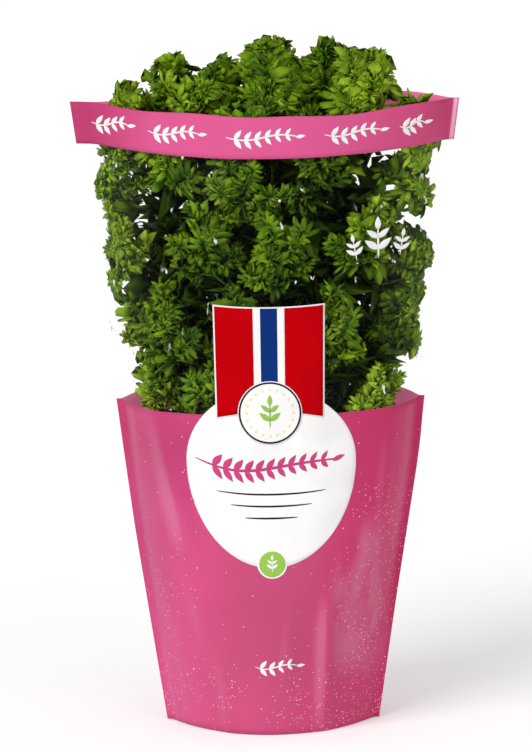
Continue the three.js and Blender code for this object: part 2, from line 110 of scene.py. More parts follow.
# Numbers and grids


def scatter(seed: Array | float, purpose: Draw) -> Array:
    """A repeatable number from 0 to 1: the fraction of a large multiple of a sine.

    Args:
        seed: what the number belongs to, such as a frond.
        purpose: what the number is for.

    Returns:
        One number for each seed.
    """
    x = np.sin(np.asarray(seed, float) * 12.9898 + purpose * 78.233) * 43758.5453
    return x - np.floor(x)


def sway(seed: Array | float, purpose: Draw) -> Array:
    """The same as scatter, from -1 to 1."""
    return 2 * scatter(seed, purpose) - 1


def ease(value: Array, low: float, high: float) -> Array:
    """A smooth step from 0 at low to 1 at high: 3t^2 - 2t^3."""
    t = np.clip((value - low) / (high - low), 0, 1)
    return t * t * (3 - 2 * t)


def unit(vectors: Array) -> Array:
    """The vectors with length 1."""
    return vectors / np.maximum(np.linalg.norm(vectors, axis=-1, keepdims=True), 1e-9)


def squeeze(value: Array, limit: Array, free_share: float = 0.7) -> Array:
    """Brings values back under a limit, by an exponential from the free share of the limit on.

    Args:
        value: the numbers, of either sign.
        limit: the largest size that they may have.
        free_share: the share of the limit up to which they stay as they are.

    Returns:
        The numbers, none larger than the limit.
    """
    free = free_share * limit
    over = np.maximum(np.abs(value) - free, 0)
    rest = np.maximum(limit - free, 1e-6)
    return np.sign(value) * (np.minimum(np.abs(value), free) + rest * (1 - np.exp(-over / rest)))


@dataclass
class Surface:
    """A mesh under construction: points in millimetres, four-cornered faces, and a value a point."""

    points: Array
    faces: Array
    values: dict[str, Array] = field(default_factory=dict)

    def outward(self) -> "Surface":
        """The same surface with its faces outwards: they are turned round if its volume is below 0.

        Returns:
            The surface.
        """
        a, b, c, d = (self.points[self.faces[:, k]] for k in range(4))
        volume = np.einsum("ij,ij->", a, np.cross(b, c)) + np.einsum("ij,ij->", a, np.cross(c, d))
        return self if volume > 0 else Surface(self.points, self.faces[:, ::-1], self.values)


def joined(surfaces: Sequence[Surface]) -> Surface:
    """Several surfaces as one, with the values that all of them have.

    Args:
        surfaces: the surfaces, which keep their own points.

    Returns:
        One surface that holds them all.
    """
    starts = np.cumsum([0] + [len(s.points) for s in surfaces[:-1]])
    names = set.intersection(*(set(s.values) for s in surfaces))
    return Surface(
        np.concatenate([s.points for s in surfaces]),
        np.concatenate([s.faces + start for s, start in zip(surfaces, starts)]),
        {name: np.concatenate([s.values[name] for s in surfaces]) for name in sorted(names)},
    )


def grid_faces(rows: int, columns: int, wrap_rows: bool = False, wrap_columns: bool = False) -> Array:
    """The faces of a grid of points that are counted row by row.

    Args:
        rows: how many rows of points there are.
        columns: how many points a row has.
        wrap_rows: the last row joins the first.
        wrap_columns: the last column joins the first.

    Returns:
        The corners' numbers, one face a line.
    """
    r = np.arange(rows if wrap_rows else rows - 1)[:, None]
    c = np.arange(columns if wrap_columns else columns - 1)[None, :]
    r2, c2 = (r + 1) % rows, (c + 1) % columns
    corners = [r * columns + c, r * columns + c2, r2 * columns + c2, r2 * columns + c]
    return np.stack(corners, -1).reshape(-1, 4)


def slab_faces(rows: int, columns: int, ring: bool = False) -> Array:
    """The faces of two equal grids, one behind the other, with the strips that join their edges.

    Args:
        rows: how many rows of points each grid has.
        columns: how many points a row has.
        ring: the last column joins the first.

    Returns:
        The corners' numbers: the front grid's points come first, then the back grid's.
    """
    front = grid_faces(rows, columns, wrap_columns=ring)
    numbers = np.arange(rows * columns).reshape(rows, columns)
    outline = np.concatenate([numbers[0, :-1], numbers[:-1, -1], numbers[-1, :0:-1], numbers[:0:-1, 0]])
    rims = (numbers[0], numbers[-1, ::-1]) if ring else (outline,)
    behind = rows * columns
    edges = [np.stack([np.roll(rim, -1), rim, rim + behind, np.roll(rim, -1) + behind], -1) for rim in rims]
    return np.concatenate([front, front[:, ::-1] + behind, *edges])


def tube(path: Array, radii: Array, sides: int) -> Surface:
    """A round tube along a path: rings of points round it, closed by a small ring at each end.

    Args:
        path: the points that the tube follows.
        radii: its radius at each point.
        sides: how many sides it has.

    Returns:
        The tube, with its faces outwards.
    """
    tangent = unit(np.gradient(path, axis=0))
    helper = np.where(np.abs(tangent[:, 2:]) > 0.9, np.array([1.0, 0, 0]), UP)
    across = unit(np.cross(tangent, helper))
    for i in range(1, len(path)):
        across[i] = unit(across[i - 1] - tangent[i] * (across[i - 1] @ tangent[i]))
    second = np.cross(tangent, across)
    turn = TAU * np.arange(sides) / sides
    reach = np.concatenate([[0.02], np.ones(len(path)), [0.02]])
    order = np.concatenate([[0], np.arange(len(path)), [len(path) - 1]])
    cosine, sine = np.cos(turn)[None, :, None], np.sin(turn)[None, :, None]
    around = cosine * across[order][:, None] + sine * second[order][:, None]
    points = path[order][:, None] + around * (reach * radii[order])[:, None, None]
    faces = grid_faces(len(order), sides, wrap_columns=True)
    first, last = np.arange(sides), (len(order) - 1) * sides + np.arange(sides)
    caps = []
    for ring in (first[::-1], last):
        caps += [[ring[i], ring[i + 1], ring[-i - 2], ring[-i - 1]] for i in range(sides // 2 - 1)]
    return Surface(points.reshape(-1, 3), np.concatenate([faces, np.array(caps)])).outward()


def smooth_path(points: Array, count: int) -> Array:
    """A centripetal Catmull-Rom curve through points, evenly spaced along its length.

    Args:
        points: the points that it passes.
        count: how many points it gives.

    Returns:
        The points of the curve.
    """
    ends = np.concatenate([[2 * points[0] - points[1]], points, [2 * points[-1] - points[-2]]])
    t = np.linspace(0, 1, 24, endpoint=False)[:, None]
    pieces = []
    for p0, p1, p2, p3 in zip(ends, ends[1:], ends[2:], ends[3:]):
        d0, d1, d2 = (math.sqrt(np.linalg.norm(b - a)) for a, b in ((p0, p1), (p1, p2), (p2, p3)))
        m1 = ((p1 - p0) / d0 - (p2 - p0) / (d0 + d1) + (p2 - p1) / d1) * d1
        m2 = ((p2 - p1) / d1 - (p3 - p1) / (d1 + d2) + (p3 - p2) / d2) * d1
        pieces.append(p1 + m1 * t + (3 * (p2 - p1) - 2 * m1 - m2) * t**2 + (2 * (p1 - p2) + m1 + m2) * t**3)
    curve = np.concatenate([*pieces, points[-1:]])
    walked = np.concatenate([[0], np.cumsum(np.linalg.norm(np.diff(curve, axis=0), axis=1))])
    even = np.linspace(0, walked[-1], count)
    return np.stack([np.interp(even, walked, curve[:, k]) for k in range(3)], -1)


# Materials


class Recipe:
    """A material's nodes under construction, round one Principled shader."""

    def __init__(self, name: str) -> None:
        """Starts an empty material.

        Args:
            name: the material's name.
        """
        self.material = bpy.data.materials.new(name)
        self.material.use_nodes = True
        self.tree = self.material.node_tree
        self.tree.nodes.clear()
        self.shader = self.add("ShaderNodeBsdfPrincipled")
        output = self.add("ShaderNodeOutputMaterial")
        self.tree.links.new(self.shader.outputs[0], output.inputs["Surface"])

    def add(self, kind: str, inputs: Mapping[Any, Any] | None = None, **settings: Any) -> bpy.types.Node:
        """Adds a node.

        Args:
            kind: the node's type.
            inputs: a number, colour or other node's output for each input that isn't left as it is.
            settings: the node's own settings.

        Returns:
            The node.
        """
        node = self.tree.nodes.new(kind)
        for name, value in settings.items():
            setattr(node, name, value)
        self.feed(node, inputs or {})
        return node

    def feed(self, node: bpy.types.Node, inputs: Mapping[Any, Any]) -> None:
        """Sets or links a node's inputs.

        Args:
            node: the node.
            inputs: a number, colour or other node's output for each input.
        """
        for key, value in inputs.items():
            if isinstance(value, Socket):
                self.tree.links.new(value, node.inputs[key])
            else:
                node.inputs[key].default_value = value

    def place(self) -> Socket:
        """The place on the object, in metres."""
        return self.add("ShaderNodeTexCoord").outputs["Object"]

    def part_of(self, axis: str) -> Socket:
        """One coordinate of the place on the object: X, Y or Z."""
        return self.add("ShaderNodeSeparateXYZ", {0: self.place()}).outputs[axis]

    def value_of(self, name: str) -> Socket:
        """The value that the mesh holds at each point under a name."""
        return self.add("ShaderNodeAttribute", attribute_name=name).outputs["Fac"]

    def noise(
        self,
        scale: float,
        detail: float = 3,
        roughness: float = 0.5,
        stretch: Sequence[float] = (1, 1, 1),
    ) -> Socket:
        """Cloudy noise from 0 to 1.

        Args:
            scale: how many clouds a metre holds.
            detail: how many finer layers it has.
            roughness: how strong the finer layers are.
            stretch: how many times as fine it is along each axis.

        Returns:
            The noise's socket.
        """
        mapping = self.add("ShaderNodeMapping", {"Vector": self.place(), "Scale": tuple(stretch)})
        inputs = {"Vector": mapping.outputs[0], "Scale": scale, "Detail": detail, "Roughness": roughness}
        return self.add("ShaderNodeTexNoise", inputs).outputs[0]

    def step(self, operation: str, a: Any, b: Any = 0.0) -> Socket:
        """One step of arithmetic on two values."""
        return self.add("ShaderNodeMath", {0: a, 1: b}, operation=operation).outputs[0]

    def product(self, a: Any, b: Any) -> Socket:
        """Two values multiplied."""
        return self.step("MULTIPLY", a, b)

    def total(self, a: Any, b: Any) -> Socket:
        """Two values added."""
        return self.step("ADD", a, b)

    def between(
        self,
        value: Any,
        low: float,
        high: float,
        start: float = 0.0,
        end: float = 1.0,
    ) -> Socket:
        """A value between two bounds, smoothly mapped on to start and end, and held there outside them."""
        inputs = {0: value, 1: low, 2: high, 3: start, 4: end}
        return self.add("ShaderNodeMapRange", inputs, interpolation_type="SMOOTHSTEP").outputs[0]

    def mix(self, share: Any, a: Any, b: Any) -> Socket:
        """A mix of two colours, or of a colour and another node's colour.

        Args:
            share: how much of the second colour it has.
            a: the first colour.
            b: the second colour.

        Returns:
            The mix's socket.
        """
        node = self.add("ShaderNodeMix", data_type="RGBA")
        a, b = ((*v, 1.0) if isinstance(v, tuple) and len(v) == 3 else v for v in (a, b))
        self.feed(node, {0: share, 6: a, 7: b})
        return node.outputs[2]

    def ramp(self, value: Socket, stops: Sequence[tuple[float, Colour]]) -> Socket:
        """Colours along a value.

        Args:
            value: the value, from 0 to 1.
            stops: where each colour stands, and the colour.

        Returns:
            The colour's socket.
        """
        node = self.add("ShaderNodeValToRGB", {0: value})
        elements = node.color_ramp.elements
        while len(elements) < len(stops):
            elements.new(0.5)
        for element, (position, colour) in zip(elements, stops):
            element.position = position
            element.color = (*colour, 1)
        return node.outputs[0]

    def bump(self, height: Any, strength: float, distance: float) -> None:
        """Gives the shader a bumpy surface.

        Args:
            height: the height's socket.
            strength: how strongly it shows.
            distance: how high it is, in metres.
        """
        inputs = {"Height": height, "Strength": strength, "Distance": distance}
        self.feed(self.shader, {"Normal": self.add("ShaderNodeBump", inputs).outputs[0]})

    def finish(self, **inputs: Any) -> bpy.types.Material:
        """Feeds the shader and gives the material; an input's name has underscores for its spaces."""
        self.feed(self.shader, {name.replace("_", " "): value for name, value in inputs.items()})
        return self.material


@dataclass(frozen=True)
class Fade:
    """A soft mask along an axis, in metres: its least value up to start, and its most from end on."""

    axis: str
    start: float
    end: float
    most: float = 1.0
    least: float = 0.0
    mirrored: bool = False

    def mask(self, r: Recipe) -> Socket:
        """The mask's socket; a mirrored one reads the distance from the middle plane.

        Args:
            r: the recipe that takes the mask's nodes.

        Returns:
            The mask.
        """
        place = r.part_of(self.axis)
        if self.mirrored:
            place = r.step("ABSOLUTE", place)
        return r.between(place, self.start, self.end, self.least, self.most)


Region = tuple[Fade, ...]


def region_mask(r: Recipe, region: Region) -> Socket:
    """The product of a region's fades.

    Args:
        r: the recipe that takes the nodes.
        region: the fades.

    Returns:
        The mask.
    """
    mask = region[0].mask(r)
    for fade in region[1:]:
        mask = r.product(mask, fade.mask(r))
    return mask


@dataclass(frozen=True)
class Tint:
    """Another colour over a region of the film; on the skirt some of these are painted light and shade."""

    colour: Colour
    region: Region


@dataclass(frozen=True)
class Specks:
    """Pale specks: cells a metre, a speck's radius in its cell, and the share of cells with one."""

    scale: float
    radius: float
    share: float


@dataclass(frozen=True)
class PrintedFilmFinish:
    """Opaque printed film: an ink in soft clouds, tinted by regions, satin streaks, and a paler inside that
    glows as painted light.
    """

    ink: Colour = (0.57, 0.07, 0.19)
    deep_ink: Colour = (0.45, 0.045, 0.145)
    inner: Colour = (0.52, 0.115, 0.225)
    pale: Colour = (0.86, 0.44, 0.60)
    tints: tuple[Tint, ...] = (
        Tint((0.64, 0.095, 0.265), (Fade("X", -0.08, -0.05, 0.8), Fade("X", 0.085, 0.03))),
    )
    # The inside's glow is painted light, standing in for light that shines through the film.
    glow: float = 0.6

    def material(self, name: str) -> bpy.types.Material:
        """The finish as a material.

        Args:
            name: the material's name.

        Returns:
            The material.
        """
        r = Recipe(name)
        colour = r.mix(r.between(r.noise(14, 3), 0.35, 0.7), self.ink, self.deep_ink)
        for tint in self.tints:
            colour = r.mix(region_mask(r, tint.region), colour, tint.colour)
        colour = self.worn(r, colour)
        inside = r.value_of("inside")
        colour = r.mix(r.value_of("worn"), r.mix(inside, colour, self.inner), self.pale)
        streaks = r.noise(60, 4, 0.6, (1, 1, 0.12))
        ripples = r.product(r.noise(24, 3, 0.55, (1, 1, 0.55)), 2.4)
        grain = r.total(streaks, r.product(r.noise(420, 2), 0.25))
        r.bump(r.total(ripples, grain), 0.3, 0.0006)
        return r.finish(
            Base_Color=colour,
            Roughness=r.between(streaks, 0.3, 0.75, 0.3, 0.46),
            Specular_IOR_Level=0.06,
            # Painted light: the film's inside glows in its paler colour.
            Emission_Color=(*self.inner, 1),
            Emission_Strength=r.product(inside, self.glow),
        )

    def worn(self, r: Recipe, colour: Socket) -> Socket:
        """The ink with its wear and painted light; plain film has none."""
        return colour


@dataclass(frozen=True)
class SkirtFilmFinish(PrintedFilmFinish):
    """The skirt's printed film: regional tints, some of them painted light and shade, painted light and shade
    on its folds, a painted sheen and specks.
    """

    tints: tuple[Tint, ...] = (
        Tint((0.57, 0.09, 0.205), (Fade("Z", 0.08, 0.01, 0.6),)),
        Tint((0.45, 0.045, 0.145), (Fade("Z", 0.1, 0.16, 0.35),)),
        # Painted shade, deeper on the right and in the middle, and painted light on the left, for light that
        # falls from the left.
        Tint((0.51, 0.028, 0.115), (Fade("X", 0.0, 0.055, 0.68),)),
        Tint((0.46, 0.068, 0.163), (Fade("X", 0.04, 0.012, 0.6, mirrored=True), Fade("Z", 0.015, 0.045))),
        Tint((0.64, 0.095, 0.265), (Fade("X", -0.02, -0.05, 0.4), Fade("Z", 0.15, 0.11))),
    )
    # Painted light and shade on the folds' flanks, for light that falls from the left.
    flank_share: float = 0.15
    # A painted sheen in soft clouds, to the right of the big crease.
    scuffed: Tint = Tint(
        (0.62, 0.3, 0.42),
        (Fade("X", 0.027, 0.037), Fade("X", 0.063, 0.05), Fade("Z", 0.02, 0.045), Fade("Z", 0.116, 0.095)),
    )
    speck: Colour = (0.95, 0.62, 0.74)
    specks: tuple[Specks, ...] = (Specks(620.0, 0.18, 0.12), Specks(950.0, 0.2, 0.42))
    speckled: tuple[Region, ...] = (
        (Fade("X", 0.022, 0.045), Fade("Z", 0.145, 0.1)),
        (Fade("Z", 0.05, 0.008, 0.8),),
        (Fade("X", -0.03, -0.055), Fade("Z", 0.1, 0.07, 0.5)),
    )

    def worn(self, r: Recipe, colour: Socket) -> Socket:
        """The ink with painted light and shade on its folds' flanks, its painted sheen and its specks.

        Args:
            r: the recipe that takes the nodes.
            colour: the ink.

        Returns:
            The ink with its folds' painted light and shade, its painted sheen and its specks.
        """
        flank = r.value_of("flank")
        # Painted light on each fold's left flank and painted shade on its right one.
        colour = r.mix(r.between(flank, 0.1, 1.0, 0.0, self.flank_share), colour, self.pale)
        colour = r.mix(r.between(flank, -0.1, -1.0, 0.0, 2 * self.flank_share), colour, self.deep_ink)
        # A painted sheen in clouds over its region.
        cloud = r.between(r.noise(34, 3, 0.6, (1, 1, 0.45)), 0.42, 0.66, 0.0, 0.3)
        sheen_mask = r.product(region_mask(r, self.scuffed.region), cloud)
        colour = r.mix(sheen_mask, colour, self.scuffed.colour)
        for specks in self.specks:
            colour = r.mix(self.speck_mask(r, specks), colour, self.speck)
        return colour

    def speck_mask(self, r: Recipe, specks: Specks) -> Socket:
        """Where specks are: small discs in random cells, more of them in the speckled regions.

        Args:
            r: the recipe that takes the mask's nodes.
            specks: the specks.

        Returns:
            The mask's socket.
        """
        cells = r.add("ShaderNodeTexVoronoi", {"Vector": r.place(), "Scale": specks.scale})
        chosen = r.add("ShaderNodeSeparateColor", {0: cells.outputs["Color"]}).outputs[0]
        dense = region_mask(r, self.speckled[0])
        for region in self.speckled[1:]:
            dense = r.step("MAXIMUM", dense, region_mask(r, region))
        dense = r.product(dense, r.between(r.noise(38, 3), 0.36, 0.62))
        limit = r.step("SUBTRACT", 0.99, r.product(dense, specks.share))
        kept = r.step("GREATER_THAN", chosen, limit)
        disc = r.between(cells.outputs["Distance"], specks.radius + 0.08, specks.radius - 0.05)
        return r.product(kept, disc)


@dataclass(frozen=True)
class ClearFilmFinish:
    """Clear film: nearly all light passes, with more painted shine at grazing angles, faint painted gloss
    streaks and glints, and a faint painted reflection at the sides and low down.
    """

    tint: Colour = (0.9, 0.93, 0.9)
    # A faint painted reflection of the white room, at the sides and low in the window.
    side_haze: Fade = Fade("X", 0.042, 0.078, 0.006, mirrored=True)
    foot_haze: Fade = Fade("Z", 0.2, 0.168, 0.0025, 0.0008)

    def material(self, name: str) -> bpy.types.Material:
        """The finish as a material.

        Args:
            name: the material's name.

        Returns:
            The material.
        """
        r = Recipe(name)
        facing = r.add("ShaderNodeLayerWeight", {"Blend": 0.25}).outputs["Facing"]
        # Painted highlights: a shine at grazing angles, gloss streaks and small glints, each white where it
        # is opaque.
        shine = r.product(r.step("POWER", facing, 5.0), 0.16)
        painted_gloss = r.between(r.noise(22, 4, 0.6, (1, 1, 0.3)), 0.6, 0.85, 0.0, 0.02)
        glints = r.between(r.noise(300, 2, 0.5, (1, 1, 0.5)), 0.7, 0.74, 0.0, 0.75)
        glints = r.product(glints, r.between(r.noise(36, 2), 0.5, 0.62))
        painted_reflection = r.step("MAXIMUM", self.side_haze.mask(r), self.foot_haze.mask(r))
        alpha = r.total(r.total(r.total(shine, painted_gloss), glints), painted_reflection)
        r.bump(r.noise(55, 3, 0.55, (1, 1, 0.25)), 0.35, 0.001)
        r.material.surface_render_method = "BLENDED"
        return r.finish(Base_Color=(*self.tint, 1), Roughness=0.12, Alpha=alpha)


@dataclass(frozen=True)
class LeafFinish:
    """Curly parsley: dark green low in the blade, yellow green at the teeth, paler stalks, fine veins; the
    teeth's lightness and the shade value are partly painted light and shade.
    """

    stalk: Colour = (0.10, 0.20, 0.025)
    stops: tuple[tuple[float, Colour], ...] = (
        (0.0, (0.006, 0.014, 0.0008)),
        (0.3, (0.028, 0.070, 0.0015)),
        (0.6, (0.09, 0.19, 0.003)),
        (0.85, (0.21, 0.36, 0.008)),
        (1.0, (0.36, 0.52, 0.03)),
    )
    warm_stops: tuple[tuple[float, Colour], ...] = (
        (0.0, (0.012, 0.018, 0.001)),
        (0.5, (0.09, 0.15, 0.004)),
        (1.0, (0.38, 0.48, 0.04)),
    )

    def material(self, name: str) -> bpy.types.Material:
        """The finish as a material.

        Args:
            name: the material's name.

        Returns:
            The material.
        """
        r = Recipe(name)
        # The tip's lightness is partly painted light in place of light through the leaf; the shade value is
        # painted light and shade.
        tip = r.product(r.value_of("tip"), 0.42)
        shade = r.product(r.value_of("shade"), 0.5)
        cloud = r.product(r.step("SUBTRACT", r.noise(120, 3), 0.35), 0.45)
        value = r.total(r.total(tip, shade), cloud)
        warm = r.between(r.noise(26, 2), 0.45, 0.7, 0.0, 0.4)
        colour = r.mix(warm, r.ramp(value, self.stops), r.ramp(value, self.warm_stops))
        colour = r.mix(r.value_of("stem"), colour, self.stalk)
        r.bump(r.total(r.noise(900, 2), r.value_of("vein")), 0.5, 0.0004)
        rough = r.between(r.noise(300, 2), 0.3, 0.7, 0.36, 0.52)
        return r.finish(Base_Color=colour, Roughness=rough, Specular_IOR_Level=0.1)


@dataclass(frozen=True)
class PotFinish:
    """Thin dark moulded plastic: a little dull, scuffed in rings, with specks of peat."""

    base: Colour = (0.024, 0.021, 0.02)
    dust: Colour = (0.07, 0.05, 0.035)

    def material(self, name: str) -> bpy.types.Material:
        """The finish as a material.

        Args:
            name: the material's name.

        Returns:
            The material.
        """
        r = Recipe(name)
        colour = r.mix(r.between(r.noise(90, 5, 0.65), 0.52, 0.75), self.base, self.dust)
        r.bump(r.noise(240, 4, 0.6, (0.3, 0.3, 3)), 0.25, 0.0005)
        return r.finish(Base_Color=colour, Roughness=r.between(r.noise(40), 0.3, 0.7, 0.42, 0.62))


@dataclass(frozen=True)
class SoilFinish:
    """Moist peat: dark crumbs, paler fibres and hollows between them."""

    stops: tuple[tuple[float, Colour], ...] = (
        (0.25, (0.008, 0.005, 0.003)),
        (0.55, (0.035, 0.02, 0.011)),
        (0.8, (0.11, 0.07, 0.04)),
    )

    def material(self, name: str) -> bpy.types.Material:
        """The finish as a material.

        Args:
            name: the material's name.

        Returns:
            The material.
        """
        r = Recipe(name)
        crumbs = r.add("ShaderNodeTexVoronoi", {"Vector": r.place(), "Scale": 420.0}).outputs["Distance"]
        grain = r.total(r.product(crumbs, 0.6), r.product(r.noise(260, 6, 0.7), 0.6))
        r.bump(grain, 0.9, 0.0015)
        return r.finish(Base_Color=r.ramp(grain, self.stops), Roughness=0.95)


@dataclass(frozen=True)
class InkFinish:
    """Printing ink on film: one colour in soft clouds, slightly streaked, with no mirror shine."""

    colour: Colour

    def material(self, name: str) -> bpy.types.Material:
        """The finish as a material.

        Args:
            name: the material's name.

        Returns:
            The material.
        """
        r = Recipe(name)
        darker = tuple(0.9 * c for c in self.colour)
        colour = r.mix(r.between(r.noise(30), 0.4, 0.7), self.colour, darker)
        r.bump(r.noise(60, 4, 0.6, (1, 1, 0.12)), 0.15, 0.0005)
        rough = r.between(r.noise(90), 0.3, 0.7, 0.38, 0.5)
        return r.finish(Base_Color=colour, Roughness=rough, Specular_IOR_Level=0.0)


class Ink(Enum):
    """The inks of the labels, as linear colours."""

    WHITE = (0.84, 0.83, 0.82)
    RED = (0.47, 0.001, 0.004)
    BLUE = (0.006, 0.03, 0.165)
    PINK = (0.54, 0.06, 0.195)
    DARK = (0.015, 0.015, 0.02)
    GREEN = (0.28, 0.50, 0.08)
    CREAM = (0.84, 0.74, 0.36)


def put_in_scene(name: str, surface: Surface, material: bpy.types.Material) -> bpy.types.Object:
    """Makes a piece from a surface: its points in metres, its values, its material and its body.

    Args:
        name: the piece's name.
        surface: the surface in millimetres.
        material: its material.

    Returns:
        The piece.
    """
    mesh = bpy.data.meshes.new(name)
    mesh.vertices.add(len(surface.points))
    mesh.vertices.foreach_set("co", (surface.points * MM).astype(np.float32).ravel())
    mesh.loops.add(surface.faces.size)
    mesh.loops.foreach_set("vertex_index", surface.faces.astype(np.int32).ravel())
    mesh.polygons.add(len(surface.faces))
    mesh.polygons.foreach_set("loop_start", np.arange(0, surface.faces.size, 4, dtype=np.int32))
    mesh.polygons.foreach_set("use_smooth", np.ones(len(surface.faces), bool))
    for key, values in surface.values.items():
        attribute = mesh.attributes.new(key, "FLOAT", "POINT")
        attribute.data.foreach_set("value", values.astype(np.float32).ravel())
    mesh.update(calc_edges=True)
    mesh.materials.append(material)
    piece = bpy.data.objects.new(name, mesh)
    bpy.context.scene.collection.objects.link(piece)
    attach(piece, BODY)
    return piece


# The sleeve


@lru_cache
def rounded_table(table: Table, spread: float = 9.0) -> tuple[Array, Array]:
    """A table's straight-line value at every millimetre, averaged over a spread, which rounds its kinks.

    Args:
        table: pairs of a height and a value.
        spread: how far above and below a height is averaged, less far near the table's ends.

    Returns:
        The heights and the values.
    """
    z = np.arange(table[0][0], table[-1][0] + 0.5)
    reach = np.minimum(spread, np.minimum(z - table[0][0], table[-1][0] - z))
    values = sum(np.interp(z + share * reach, *zip(*table)) for share in (-1, -0.5, 0, 0.5, 1)) / 5
    return z, values


@dataclass(frozen=True)
class Measures:
    """The sleeve's section at some heights: its plain half width, its seams' edges, and its lens."""

    width: Array
    left: Array
    right: Array
    half: Array
    centre: Array
    depth: Array
    power: Array
    lift: Array


@dataclass(frozen=True)
class FilmShape:
    """The film's form: two panels that bulge to the front and back between two flat side seams.

    The section is y = depth (1 - s^2)^(power - skew s), where s runs from -1 to 1 across the lens and the
    skew grows from 0 towards the mouth. It is thinned out at the corners by 1 - exp(-d / corner_fillet),
    where d is the distance from the nearer one. The left corner is slacker than the right one towards the
    mouth.
    """

    height: float = 312.0
    skirt_top: float = 164.0
    band_bottom: float = 291.4
    foot_half_width: float = 53.2
    taper: float = 0.1384
    levels: tuple[float, ...] = (0, 78, 164, 312)
    depths: tuple[float, ...] = (38, 52.7, 54, 53.5)
    powers: tuple[float, ...] = (0.93, 0.58, 0.52, 1.1)
    seams: tuple[float, ...] = (1.6, 1.8, 2.2, 3)
    lifts: tuple[float, ...] = (0.4, 0.2, 0, 1.5)
    left_slack: float = 7.0
    slack_from: float = 268.0
    skew: float = 0.22
    corner_fillet: float = 3.6
    left_swell: Table = ((0, 0), (98, 1.0), (137, 0.5), (164, 0), (235, 0.8), (292, 0))
    right_swell: Table = (
        (0, 0), (60, 0.8), (98, 1.8), (137, 2.8), (164, 1.8), (235, 2.4), (292, 0.3),
    )

    def measures(self, z: Array) -> Measures:
        """The section's measures at some heights, nearly straight between the levels.

        Args:
            z: the heights.

        Returns:
            The measures, each in the shape of z.
        """
        level = np.clip(z, 0, self.height)
        depth, power, seam, lift = (
            np.interp(level, *rounded_table(tuple(zip(self.levels, row))))
            for row in (self.depths, self.powers, self.seams, self.lifts)
        )
        width = self.foot_half_width + self.taper * level
        slack = self.left_slack * ease(level, self.slack_from, self.height)
        left, right = (
            width + np.interp(level, *rounded_table(swell)) for swell in (self.left_swell, self.right_swell)
        )
        half, centre = (left + right - slack) / 2 - seam, (right - left + slack) / 2
        return Measures(width, left, right, half, centre, depth, power, lift)

    def wall(self, x: Array, z: Array) -> Array:
        """How far the film's inside is from the plane of the seams.

        Args:
            x: places across the panel.
            z: heights.

        Returns:
            The distances, of either panel.
        """
        m = self.measures(z)
        s = np.clip((x - m.centre) / m.half, -1, 1)
        skew = self.skew * ease(np.clip(z, 0, self.height), self.slack_from, self.height)
        fillet = 1 - np.exp(-(1 - np.abs(s)) * m.half / self.corner_fillet)
        return m.depth * np.maximum(1 - s * s, 0) ** (m.power - skew * s) * fillet

    def radius(self, z: Array, bearing: Array, clearance: float) -> Array:
        """How far the film is from the axis in a direction, less a clearance, found by halving.

        Args:
            z: the heights.
            bearing: the directions from the axis.
            clearance: how far to stay from the film.

        Returns:
            The distances.
        """
        c, s = np.cos(bearing), np.abs(np.sin(bearing))
        near, far = np.zeros_like(c * z), self.measures(z).right + 0 * c
        for _ in range(16):
            middle = (near + far) / 2
            wall = self.wall(middle * c, z)
            slope = (wall - self.wall(middle * c + 0.5 * np.sign(c), z)) / 0.5
            inside = wall - middle * s > clearance * np.hypot(1, slope)
            near, far = np.where(inside, middle, near), np.where(inside, far, middle)
        return near


@dataclass(frozen=True)
class Crease:
    """A soft upright ridge or groove in a panel: where it stands at the hem and the mouth, and its size."""

    foot: float
    head: float
    half_width: float
    height: float
    low: float
    high: float

    def rise(self, x: Array, z: Array, total: float) -> Array:
        """How far it stands out: a bell across, times a rounded hump between its low and high end.

        Args:
            x: places across the panel.
            z: heights.
            total: the sleeve's height, at which the crease is at its head.

        Returns:
            The distances outwards, or inwards where the crease is a groove.
        """
        middle = self.foot + (self.head - self.foot) * z / total
        along = np.clip((z - self.low) / (self.high - self.low), 0, 1)
        return self.height * np.exp(-(((x - middle) / self.half_width) ** 2)) * np.sin(math.pi * along) ** 1.2


CREASES: dict[Face, tuple[Crease, ...]] = {
    Face.FRONT: (
        Crease(-21, -85, 6.0, 3.4, 25, 190),
        Crease(8, -128, 5.0, 1.2, 40, 150),
        Crease(-47, -100, 2.4, 1.6, -25, 80),
        Crease(-20, -40, 5.0, 1.3, -20, 70),
        Crease(6, 30, 3.4, 1.0, 10, 80),
        Crease(27, 41, 4.4, 3.2, -14, 98),
        Crease(40, 62, 3.4, -1.8, 0, 112),
        Crease(30, 92, 3.0, 1.5, 60, 112),
        Crease(46, 78, 3.6, 1.6, 92, 164),
        Crease(-50, -70, 4.0, 1.6, 150, 330),
        Crease(30, 52, 5.0, 1.3, 160, 300),
    ),
    Face.BACK: (
        Crease(-40, -60, 3.0, 1.4, -40, 140),
        Crease(-20, -32, 4.4, 0.9, -20, 90),
        Crease(5, 9, 5.0, 0.8, -20, 74),
        Crease(36, 52, 3.2, 1.4, -40, 130),
        Crease(-36, -50, 5.0, 1.3, 160, 310),
        Crease(40, 64, 4.0, 1.5, 150, 320),
    ),
}


